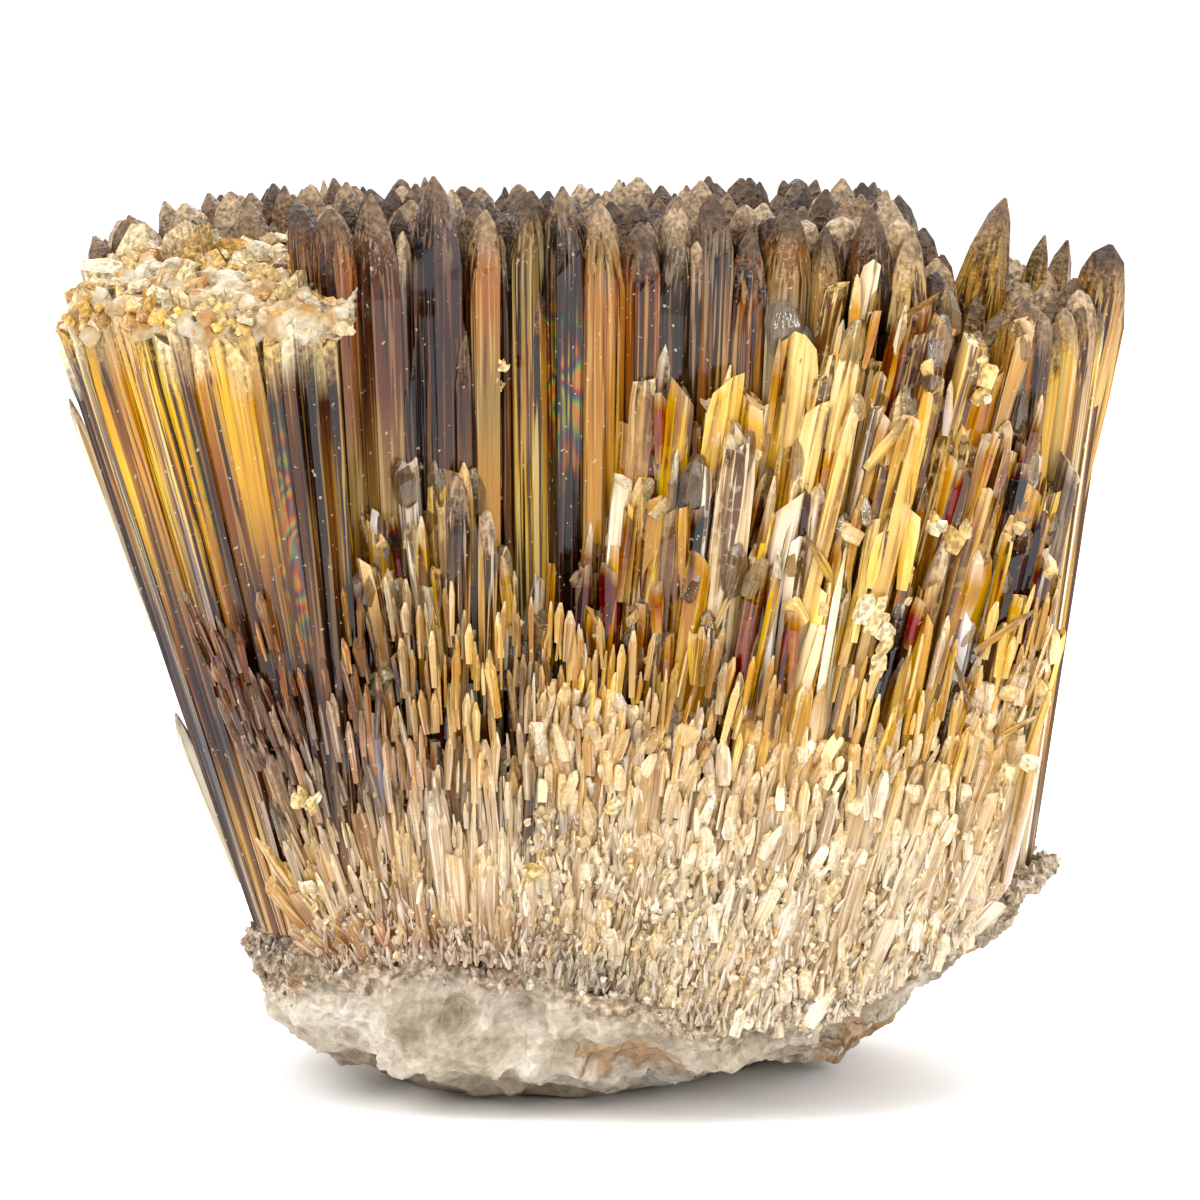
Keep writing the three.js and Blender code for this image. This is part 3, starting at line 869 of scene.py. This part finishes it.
def growFibres():
    for _ in range(fibres["count"]):
        length = between(*fibres["length"])
        spot, way, rise = lowSpot(fibres["height"], 1.35, length * 0.5 + 1)
        way += anyWay() * between(0.02, 0.16)
        layCrystal("paleFibres", "fibre", spot, way * length, middle, between(*fibres["width"]),
                   frost=between(-0.1, 0.2), frosting=lowFrost(spot), mood=patchMood(spot, 5, 0.5, 0.12),
                   waving=0.2, paler=0.25 * max(1 - rise / 30, 0))
    for _ in range(crumbs["count"]):
        spot, way, rise = lowSpot(crumbs["height"], 1.7)
        if spot.x < -8 and rise > 3 + dice.random() ** 3 * 8:
            continue
        spot.y -= between(0, 1.4)
        size = thick = between(*crumbs["size"])
        kind = dice.choice(["fibre", "fibre", "chip"])
        if kind == "fibre":
            size *= crumbs["stretch"]
            thick = size * crumbs["thin"]
            way = way + Vector((0, -0.3, 0)) + anyWay() * 0.45
        else:
            way = anyWay()
        layCrystal("paleFibres", kind, spot, way * size, middle, thick, paler=0.2, frost=between(-0.4, 0.3),
                   frosting="rock" if dice.random() * 5 > rise else "break",
                   mood=patchMood(spot, 5, 0.5, 0.15))


def growSugar():
    for _ in range(sugar["count"]):
        spot, way, rise = lowSpot(sugar["height"], 1.25)
        if spot.x < -6 and (spot.z > 28 or dice.random() < 0.75):
            continue
        length = between(*sugar["length"])
        way = (way + Vector((0, -0.45, 0)) * dice.random() + anyWay() * 0.3).normalized()
        layCrystal("sugarCrystals", dice.choice(["splinter", "needle", "chip"]), spot, way * length, middle,
                   between(*sugar["width"]), frost=eitherWay(0.2), frosting="break",
                   mood=patchMood(spot, 4, 0.6, 0.15), paler=between(0, 0.35), waving=0.2)


def ledgeSpot(x, y, lower, upper):
    return onFanLine(x, y, ledgeTop(x, y, y - frontOf(x, crown)) + between(lower, upper))


def growLedgeChips():
    for _ in range(chips["ledge"]):
        x = between(-62, -27)
        y = frontOf(x, crown) + between(0.4, 22)
        if planShare(x, y, crown) <= 0.98:
            spot = ledgeSpot(x, y, -2.4, 0.4)
            size = between(*chips["ledgeSize"])
            layCrystal("brokenLedge", "chip", spot, anyWay(0.6) * size, (0.4, 0.4), size * 1.2)
    for _ in range(chips["cream"]):
        x = between(-63, -26.5)
        y = frontOf(x, crown) + between(0.2, 23)
        if planShare(x, y, crown) <= 0.99:
            spot = ledgeSpot(x, y, -1.5, 1.0)
            size = between(*chips["creamSize"])
            way = (Vector((0.3, -0.3, 1)) + anyWay() * 0.7).normalized()
            layCrystal("cleavageChips", "chip", spot, way * size, (0.3, 0.3), size * 1.4, frosting="break",
                       frost=between(-0.2, 0.4), mood=patchMood(spot, 4, 0.6, 0.2))


def growChips(head):
    spot = head + Vector((eitherWay(2), between(-1.6, 0.6), between(-11, 0)))
    lean = min(0.02 + head.x * 0.006 + eitherWay(0.12), splinters["mostLean"])
    way = Vector((lean, eitherWay(0.1), 1))
    length = between(*splinters["length"])
    kind = dice.choice(["splinter", "brokenShort", "brokenShort"])
    width = between(*splinters["width"])
    paler = between(*brokenHabit["paler"]) if dice.random() < splinters["paleShare"] else 0.0
    layCrystal("splinters", kind, spot, way * length, (0.7, 0.3), width, frosting="break", frost=-0.15,
               paler=paler, mood=patchMood(spot, 6, 0.6, 0.2))
    if dice.random() < blocks["share"]:
        size = between(*blocks["size"])
        way = (Vector((0.12, 0, 1)) + anyWay() * 0.3).normalized()
        spot = head - Vector((0, 0, 1.4)) + anyWay() * 0.6
        layCrystal("brokenBlocks", "block", spot, way * size, (0.7, 0.5), size * blocks["width"],
                   frosting="break", frost=between(-0.05, 0.25), mood=patchMood(spot, 6, 0.6, 0.2))
    if dice.random() < chips["share"]:
        size = between(*chips["size"])
        way = anyWay(1.0)
        spot = head + anyWay() * 0.8 - Vector((0, 0, 1))
        layCrystal("cleavageChips", "chip", spot, way * size, (0.6, 0.6), size, frosting="break",
                   frost=between(-0.4, 0.3), paler=0.15)


# White cleavage flakes that stand out, by x, how far in, height and size
flakes = [
    (40.5, 7.4, 81, 4.2), (41.5, 6.4, 78.5, 2.6), (38.8, 4.0, 64.5, 3.6), (36.6, 4.2, 65.5, 2.4),
    (29.5, 3.2, 56, 4.4), (31, 3.2, 53.4, 3.6), (29.6, 2.8, 50.6, 2.6), (27, 3.0, 42, 3.0),
    (-31, 1.2, 36.2, 3.6), (-29.6, 1.2, 35.2, 2.2), (-7, 1.4, 28, 3.4), (-5.5, 1.2, 29.5, 2.4),
    (2, 1.6, 36, 2.2), (47, 1.8, 40, 2.6), (44, 1.6, 38.4, 1.8), (-9.4, 9, 82, 1.6), (-9.8, 9, 79.6, 1.2),
    (-12.6, 8, 64, 1.8), (22, 4, 46, 2.6), (13, 3.4, 50, 2.2),
]


def growFlakes():
    for x, inset, z, size in flakes:
        _, head = frontColumnEnds(x, inset - 1.2, z)
        head.x = x
        for _ in range(3):
            spot = head + anyWay() * size * 0.3
            part = size * between(0.4, 0.8)
            way = (Vector((0.2, -0.3, 1)) + anyWay() * 0.5).normalized()
            layCrystal("cleavageChips", "chip", spot, way * part, middle, part, frosting="break", frost=0.9,
                       flat=0.6, paler=0.5)


growNeedles()
growFibres()
growSugar()
growLedgeChips()
for head in brokenHeads:
    growChips(head)
growFlakes()

# Crystals that stand out from the rest: kind, foot, head, width, turn, how much paler, batch

standOuts = [
    ("spindle", (36, 0, 50), (44.3, -3, 98.5), 7.6, 0.2, 0, "standOutCrystals"),
    ("pointed", (45.5, -4, 38), (56.8, -7, 93.5), 5.6, 0.5, 0.04, "standOutCrystals"),
    ("pointed", (43, -14, 40), (53, -13, 88), 5.2, 0.1, 0.04, "standOutCrystals"),
    ("pointed", (40, -17, 40), (47.4, -18, 76), 3.8, 0.6, 0.15, "standOutCrystals"),
    ("spindle", (42, 2, 45), (49.6, 3, 94), 5.6, 0.7, 0, "standOutCrystals"),
    ("spindle", (44, 8, 45), (52, 9, 93), 5.6, 0.4, 0, "standOutCrystals"),
    ("spindle", (28, 6, 50), (31.6, 8, 98.6), 8, 0.3, 0, "standOutCrystals"),
    ("spindle", (12, 16, 50), (13.6, 19, 99.4), 7, 0.4, 0, "standOutCrystals"),
    ("brokenTall", (0.6, -26.4, 40), (3.2, -26, 70), 2.5, 0.2, 0.5, "whiteNeedles"),
    ("brokenTall", (2.6, -26.6, 38), (5.0, -26.2, 67), 2.0, 0.6, 0.25, "standOutCrystals"),
    ("blunt", (-14.2, -27, 45), (-14.2, -27.2, 70.5), 3.0, 0.2, 0.12, "standOutCrystals"),
    ("blunt", (-11.4, -27, 45), (-11.2, -27.4, 67), 2.6, 0.9, 0.12, "standOutCrystals"),
    ("block", (20.2, -22, 82.4), (20.0, -23.4, 89), 4.4, 0.2, 0.6, "brokenBlocks"),
    ("block", (22.6, -22, 80), (22.6, -23.4, 86), 3.4, 0.6, 0.5, "brokenBlocks"),
    ("rod", (-48.8, 0, 50), (-58.0, 0, 76), 1.9, 0.4, 0.55, "whiteNeedles"),
    ("rod", (-39.4, -2, 22), (-46.6, -2, 41), 1.9, 0.1, 0.6, "whiteNeedles"),
]
for kind, foot, head, width, turn, paler, batch in standOuts:
    addCrystal(batch, kind, Vector(foot), Vector(head), width, flat=1.0, turn=turn, mood=0.6, paler=paler)

# Sticks that lie across the broken columns, by x, how far in, height, length, lean in degrees and width
sticks = [
    (43.8, 0.8, 54, 8, 54, 1.1), (45.5, 0.8, 43.5, 4.5, 62, 1.0), (24, 2.4, 62, 6, -28, 1.3),
    (31, 3.4, 74, 7, 38, 1.3), (14, 2.8, 57, 8, 24, 1.2), (39, 1.6, 49, 7, -20, 1.1),
]
for x, inset, z, length, lean, width in sticks:
    _, spot = frontColumnEnds(x, inset, z)
    spot.x = x
    way = Vector((math.sin(math.radians(lean)), -0.12, math.cos(math.radians(lean)))) * length / 2
    addCrystal("splinters", "splinter", spot - way, spot + way, width, mood=between(0.4, 0.8))

# The crystals' materials. Streaks run along each crystal, partly colour striation and partly painted
# highlight and painted dark refraction; fine bright lines along them are painted glints, facets get painted
# light and shade, and its frost and tint are its own.

# In the streak ramps, stops above 1 are painted highlights and stops near black are painted dark refraction;
# the rest is the crystals' colour striation.
clearLook = {
    "streakScale": (1900, 1900, 34), "facetLightSwing": 0.26, "streaksAndPaintedLight": [
        (0.37, (0.05, 0.03, 0.025)), (0.46, (0.36, 0.27, 0.22)), (0.52, (1, 0.97, 0.9)),
        (0.64, (1.3, 1.35, 1.4))],
    "glintLineScale": (3000, 3000, 70), "glintLineEdge": (0.58, 0.66), "paintedLineGlint": 0.75, "glintAndCloudPower": 0.6,
    "rainbow": True, "clouds": 0.0, "tintPower": 1.15, "roughness": 0.03, "clear": 0.22, "bump": 0.15,
    "frostCover": 0.9, "shine": 0.25, "absorb": (0.97, 0.8, 0.4), "density": 14.0,
}
warmLook = dict(
    clearLook, streakScale=(950, 950, 52), clear=0.2, tintPower=1.05, rainbow=False, clouds=0.25, bump=0.05,
    glintLineScale=(2800, 2800, 120), glintAndCloudPower=0.62, facetLightSwing=0.36, shine=0.35, streaksAndPaintedLight=[
        (0.36, (0.14, 0.08, 0.04)), (0.45, (0.54, 0.44, 0.3)), (0.52, (1, 0.97, 0.9)),
        (0.63, (1.25, 1.33, 1.9))])
glassLook = dict(
    warmLook, clear=0.9, tintPower=0.4, density=40.0, absorb=(0.98, 0.86, 0.55), roughness=0.04, shine=0.5,
    bump=0.3, streaksAndPaintedLight=[(0.36, (0.7, 0.6, 0.5)), (0.5, (1, 1, 1)), (0.63, (1, 1, 1))])
deepLook = dict(clearLook, tintPower=1.0, roughness=0.3, clear=0.0, bump=0, frostCover=0.4, rainbow=False)
paleLook = dict(
    clearLook, streakScale=(2600, 2600, 60), glintLineScale=(3600, 3600, 120), tintPower=0.95, roughness=0.12,
    clear=0.0, bump=0, facetLightSwing=0.12, glintAndCloudPower=0.5, rainbow=False, streaksAndPaintedLight=[
        (0.36, (0.7, 0.62, 0.53)), (0.46, (0.88, 0.83, 0.78)), (0.53, (0.96, 0.96, 0.96)),
        (0.66, (1.05, 1.08, 1.12))])
sugarLook = dict(paleLook, roughness=0.08, shine=0.6, facetLightSwing=0.24, tintPower=0.85)
rainbow = {"scale": 190.0, "bands": 6.0, "edge": (0.44, 0.54), "most": 0.7, "stops": stops(
    (0.0, (196, 40, 16)), (0.25, (236, 150, 20)), (0.45, (150, 176, 60)), (0.65, (40, 130, 110)),
    (0.8, (60, 70, 110)), (1.0, (150, 40, 60)))}
frostLook = {
    "scale": 1500.0, "edge": (0.3, 0.7), "gaps": (-0.35, -0.02), "growth": 1.3, "grainEdge": (0.36, 0.64),
    "grainLight": (0.45, 1.35), "roughness": 0.5, "clearShare": 0.35,
}
speckLook = {"edge": (0.69, 0.74), "most": 0.6, "colour": paint(222, 204, 166)}
cloudLook = {"scale": 620.0, "edge": (0.56, 0.61)}
whole = (0, 1)


def addStripes(tree, own, facet, scale, shift, detail):  # noise along the crystal, anew on each facet
    stretch = addNode(tree, "ShaderNodeMapping")
    stretch.inputs["Scale"].default_value = scale
    feed(tree, own, stretch.inputs["Vector"])
    feed(tree, addMath(tree, "MULTIPLY", facet, shift), stretch.inputs["Location"])
    return addNoise(tree, stretch.outputs["Vector"], 1.0, detail)


def calciteMaterial(name, look):
    material, tree, shader = newMaterial(name)
    tint = readAttribute(tree, "tint", "Vector")
    own = readAttribute(tree, "ownPlace", "Vector")
    facet = readAttribute(tree, "facet")
    place = objectPlace(tree)
    # colour striation along the crystal, which also carries painted highlight and painted dark refraction
    streaksAndPaintedLight = addStripes(tree, own, facet, look["streakScale"], 37.0, 3.0)
    # painted glints: thin bright lines along each crystal, a lighter tint standing in for light caught on its
    # edges
    glintLines = addStripes(tree, own, facet, look["glintLineScale"], 53.0, 0.0)
    # painted facet light and shade: each facet is made lighter or darker by its own value, as if it caught
    # the light differently
    paintedFacetLight = addMath(tree, "MULTIPLY_ADD", facet, look["facetLightSwing"], -look["facetLightSwing"] / 2)
    striping = addRamp(tree, addMath(tree, "ADD", streaksAndPaintedLight, paintedFacetLight), look["streaksAndPaintedLight"])
    coat = addMix(tree, addPower(tree, tint, look["tintPower"]), striping, 1.0, "MULTIPLY")
    # the lighter tint used for the painted glint lines and for the clouds
    paler = addPower(tree, tint, look["glintAndCloudPower"])
    coat = addMix(tree, coat, paler, addRange(tree, glintLines, look["glintLineEdge"], (0.0, look["paintedLineGlint"])))
    # painted rainbow glints: spectral colours mixed into the base colour where the glint mark is set
    if look["rainbow"]:
        bands = addMath(tree, "MULTIPLY", addNoise(tree, place, rainbow["scale"], 1.0), rainbow["bands"])
        spectrum = addRamp(tree, addMath(tree, "FRACT", bands), rainbow["stops"])
        spots = addRange(tree, glintLines, rainbow["edge"], (0.0, rainbow["most"]))
        amount = addMath(tree, "MULTIPLY", readAttribute(tree, "glint"), spots, clamp=True)
        coat = addMix(tree, coat, spectrum, amount)
    if look["clouds"]:
        clouds = addNoise(tree, place, cloudLook["scale"], 3.0)
        coat = addMix(tree, coat, paler, addRange(tree, clouds, cloudLook["edge"], (0.0, look["clouds"])))
    grain = addNoise(tree, place, frostLook["scale"], 2.0)
    specks = addRange(tree, grain, speckLook["edge"], (0.0, speckLook["most"]))
    coat = addMix(tree, coat, speckLook["colour"], specks)
    gaps = addRange(tree, grain, frostLook["edge"], frostLook["gaps"])
    frost = addMath(tree, "MULTIPLY_ADD", readAttribute(tree, "frost"), frostLook["growth"], gaps, True)
    frostLight = addRange(tree, grain, frostLook["grainEdge"], frostLook["grainLight"])
    frosted = addMix(tree, tint, frostLight, 1.0, "MULTIPLY")
    cover = addRange(tree, frost, whole, (0, look["frostCover"]))
    feed(tree, addMix(tree, coat, frosted, cover), shader.inputs["Base Color"])
    rough = addRange(tree, frost, whole, (look["roughness"], frostLook["roughness"]))
    feed(tree, rough, shader.inputs["Roughness"])
    if look["clear"] > 0:
        clear = addRange(tree, frost, whole, (look["clear"], look["clear"] * frostLook["clearShare"]))
        feed(tree, clear, shader.inputs["Transmission Weight"])
        absorb = addNode(tree, "ShaderNodeVolumeAbsorption")
        feed(tree, look["absorb"], absorb.inputs["Color"])
        feed(tree, look["density"], absorb.inputs["Density"])
        feed(tree, absorb.outputs["Volume"], tree.nodes["Material Output"].inputs["Volume"])
    shader.inputs["IOR"].default_value = 1.6
    shader.inputs["Specular IOR Level"].default_value = look["shine"]
    height = addMath(tree, "MULTIPLY", grain, frost)
    if look["bump"]:
        height = addMath(tree, "MULTIPLY_ADD", streaksAndPaintedLight, look["bump"], height)
    addBump(tree, shader, height, 0.7, 0.7)
    return material


clearAmber = calciteMaterial("clearAmberCalcite", clearLook)
deepAmber = calciteMaterial("deepAmberCalcite", deepLook)
paleCalcite = calciteMaterial("frostedPaleCalcite", paleLook)
warmCalcite = calciteMaterial("honeyCalcite", warmLook)
glassCalcite = calciteMaterial("glassyCalcite", glassLook)
sugaryCalcite = calciteMaterial("sugaryCalcite", sugarLook)

edgePiece = joinBatch("edgeColumns", clearAmber)
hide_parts("calcite_crystals")
laterPieces = [
    ("frontColumns", clearAmber), ("deepColumns", deepAmber), ("crownStubs", clearAmber),
    ("brokenColumns", warmCalcite), ("whiteNeedles", paleCalcite), ("paleFibres", paleCalcite),
    ("splinters", warmCalcite), ("brokenBlocks", glassCalcite), ("lowColumns", paleCalcite),
    ("sugarCrystals", sugaryCalcite), ("cleavageChips", paleCalcite), ("standOutCrystals", clearAmber),
]
for name, material in laterPieces:
    joinBatch(name, material)

# The broken ledge at the left: its chips grown together into one rough mass. Lumps are in metres.

ledgeShape = {"voxel": 0.00035, "lumps": [
    {"kind": "VORONOI", "scale": 0.0026, "strength": 0.0013, "level": 0.5},
    {"kind": "CLOUDS", "scale": 0.001, "strength": 0.0007, "level": 0.6},
]}
ledgeLook = {"scale": 190.0, "fine": 900.0, "roughness": 0.35, "colours": stops(
    (0.36, (158, 108, 46)), (0.44, (174, 143, 94)), (0.52, (184, 166, 134)), (0.62, (200, 187, 165)))}


def ledgeMaterial():
    material, tree, shader = newMaterial("brokenLedgeCalcite")
    place = objectPlace(tree)
    fine = addNoise(tree, place, ledgeLook["fine"], 4.0)
    base = addRamp(tree, addNoise(tree, place, ledgeLook["scale"], 3.0), ledgeLook["colours"])
    speckle = addRange(tree, fine, (0.3, 0.7), (0.78, 1.12))
    feed(tree, addMix(tree, base, speckle, 1.0, "MULTIPLY"), shader.inputs["Base Color"])
    shader.inputs["Roughness"].default_value = ledgeLook["roughness"]
    addBump(tree, shader, fine, 0.6, 0.6)
    return material


def chooseOnly(piece):
    bpy.ops.object.select_all(action="DESELECT")
    piece.select_set(True)
    bpy.context.view_layer.objects.active = piece


def fuse(piece, voxel):
    chooseOnly(piece)
    remesh = piece.modifiers.new("voxels", "REMESH")
    remesh.mode = "VOXEL"
    remesh.voxel_size = voxel
    bpy.ops.object.modifier_apply(modifier="voxels")


def press(piece, allLumps, group=""):
    for number, lumps in enumerate(allLumps):
        name = piece.name + "Lumps" + str(number)
        texture = bpy.data.textures.new(name, lumps["kind"])
        texture.noise_scale = lumps["scale"]
        if lumps["kind"] == "CLOUDS":
            texture.noise_depth = 3
        pushed = piece.modifiers.new(name, "DISPLACE")
        pushed.texture = texture
        pushed.strength = lumps["strength"]
        pushed.mid_level = lumps["level"]
        pushed.vertex_group = group
        pushed.texture_coords = "LOCAL"
        bpy.ops.object.modifier_apply(modifier=name)
    for vertex in piece.data.vertices:
        vertex.co = inside(vertex.co, *cadBox)
    print(piece.name, len(piece.data.polygons), "faces")


ledgePiece = joinBatch("brokenLedge", ledgeMaterial())
fuse(ledgePiece, ledgeShape["voxel"])
press(ledgePiece, ledgeShape["lumps"])

# The heart of the fan, behind the columns. Its amber streaks are partly the crystals' colour and partly
# painted inner reflection seen through them.

heartShape = {"size": (0.82, 0.6, 0.84), "about": (0.004, 0.004, 0.016), "streaksAndPaintedLight": 240.0, "roughness": 0.4,
              "colours": stops((0.35, (70, 28, 8)), (0.5, (150, 90, 30)), (0.65, (206, 140, 50)))}


def copyNode(name, newName):
    source = bpy.data.objects[name]
    copy = source.copy()
    copy.data = source.data.copy()
    for key in list(copy.keys()):
        del copy[key]
    copy.name = newName
    copy.data.name = newName
    copy.hide_render = False
    copy.hide_viewport = False
    bpy.context.scene.collection.objects.link(copy)
    chooseOnly(copy)
    bpy.ops.object.mode_set(mode="EDIT")
    bpy.ops.mesh.select_all(action="SELECT")
    bpy.ops.mesh.remove_doubles(threshold=1e-6)
    bpy.ops.object.mode_set(mode="OBJECT")
    return copy


def growHeart():
    heart = copyNode("calcite_crystals", "fanHeart")
    bpy.ops.object.mode_set(mode="EDIT")
    bpy.ops.mesh.select_all(action="SELECT")
    bpy.ops.transform.resize(value=heartShape["size"], center_override=heartShape["about"])
    bpy.ops.object.mode_set(mode="OBJECT")
    material, tree, shader = newMaterial("heartAmber")
    streaksAndPaintedLight = addNoise(tree, objectPlace(tree), heartShape["streaksAndPaintedLight"], 3.0)
    feed(tree, addRamp(tree, streaksAndPaintedLight, heartShape["colours"]), shader.inputs["Base Color"])
    shader.inputs["Roughness"].default_value = heartShape["roughness"]
    heart.data.materials.clear()
    heart.data.materials.append(material)
    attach(heart, "root")


growHeart()

# The rock

rockShape = {"voxel": 0.00055, "smooth": 3, "flatBelow": 0.003, "margin": 7, "lumps": [
    {"kind": "VORONOI", "scale": 0.009, "strength": 0.0052, "level": 0.5},
    {"kind": "VORONOI", "scale": 0.0036, "strength": 0.0022, "level": 0.5},
    {"kind": "CLOUDS", "scale": 0.004, "strength": 0.0022, "level": 0.6},
    {"kind": "CLOUDS", "scale": 0.0013, "strength": 0.0011, "level": 0.6},
]}
rockLook = {
    "broad": 130.0, "fine": 1100.0, "stain": 95.0, "veins": 70.0, "roughness": 0.85,
    "colours": stops(
        (0.34, (148, 132, 110)), (0.46, (186, 172, 150)), (0.58, (210, 198, 180)), (0.7, (226, 217, 203))),
    "sand": stops((0.36, (92, 74, 54)), (0.5, (150, 128, 100)), (0.62, (196, 178, 150))),
    "tan": paint(168, 130, 86), "crack": paint(128, 112, 94),
}


def rockMaterial():
    material, tree, shader = newMaterial("roughLimestone")
    place = objectPlace(tree)
    broad = addNoise(tree, place, rockLook["broad"], 6.0)
    fine = addNoise(tree, place, rockLook["fine"], 4.0)
    stain = addNoise(tree, place, rockLook["stain"], 2.0)
    veins = addNoise(tree, place, rockLook["veins"], 8.0)
    tanned = addMix(tree, addRamp(tree, broad, rockLook["colours"]), rockLook["tan"],
                    addRange(tree, stain, (0.6, 0.64), (0.0, 0.8)))
    coloured = addMix(tree, tanned, addRange(tree, fine, (0.3, 0.7), (0.72, 1.12)), 1.0, "MULTIPLY")
    edge = addMath(tree, "ADD", readAttribute(tree, "margin"), addMath(tree, "MULTIPLY", broad, 1.6))
    sandy = addRange(tree, edge, (1.05, 1.4), (0.0, 0.85))
    coloured = addMix(tree, coloured, addRamp(tree, fine, rockLook["sand"]), sandy)
    ridge = addMath(tree, "ABSOLUTE", addMath(tree, "SUBTRACT", veins, 0.5))
    crack = addMath(tree, "MAXIMUM", addRange(tree, ridge, (0.0, 0.005), (0.3, 1.0)),
                    addRange(tree, stain, (0.5, 0.6), (1.0, 0.0)))
    feed(tree, addMix(tree, rockLook["crack"], coloured, crack), shader.inputs["Base Color"])
    shader.inputs["Roughness"].default_value = rockLook["roughness"]
    addBump(tree, shader, addMath(tree, "ADD", addMath(tree, "MULTIPLY", crack, 0.6), fine), 0.8, 0.9)
    return material


def growRock():
    rock = copyNode("limestone_matrix", "limestoneRock")
    fuse(rock, rockShape["voxel"])
    ease = rock.modifiers.new("ease", "SMOOTH")
    ease.factor = 0.5
    ease.iterations = rockShape["smooth"]
    bpy.ops.object.modifier_apply(modifier="ease")
    free = rock.vertex_groups.new(name="free")
    for vertex in rock.data.vertices:
        free.add([vertex.index], min(max(vertex.co.z / rockShape["flatBelow"], 0), 1), "REPLACE")
    press(rock, rockShape["lumps"], "free")
    rock.vertex_groups.clear()
    near = []
    for vertex in rock.data.vertices:
        below = along(rockTops, vertex.co.x / mm - fanShift[0]) - vertex.co.z / mm
        near.append(min(max(1 - below / rockShape["margin"], 0), 1))
    rock.data.attributes.new("margin", "FLOAT", "POINT").data.foreach_set("value", near)
    rock.data.materials.clear()
    rock.data.materials.append(rockMaterial())
    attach(rock, "root")
    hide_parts("limestone_matrix")
    return rock


limestoneRock = growRock()

# A crust of small crystals where the rock meets the fan

crustShape = {"count": 2600, "deep": 5.5, "above": 6, "rim": 0.75, "size": (0.35, 1.1)}


def growCrust():
    faces = limestoneRock.data.polygons
    made = 0
    while made < crustShape["count"]:
        face = faces[dice.randrange(len(faces))]
        spot = face.center / mm - Vector((*fanShift, 0))
        below = along(rockTops, spot.x) - spot.z
        if below > crustShape["deep"] * dice.random() ** 0.6 or face.normal.z < -0.4:
            continue
        if below < -crustShape["above"] or planShare(spot.x, spot.y, rockPlan) < crustShape["rim"]:
            continue
        size = between(*crustShape["size"])
        way = (face.normal + anyWay() * 0.5).normalized()
        layCrystal("rockCrust", dice.choice(["grain", "chip"]), spot, way * size, (0.5, 0.8), size,
                   frosting="rock", frost=between(-0.1, 0.5))
        made += 1


growCrust()
joinBatch("rockCrust", paleCalcite)
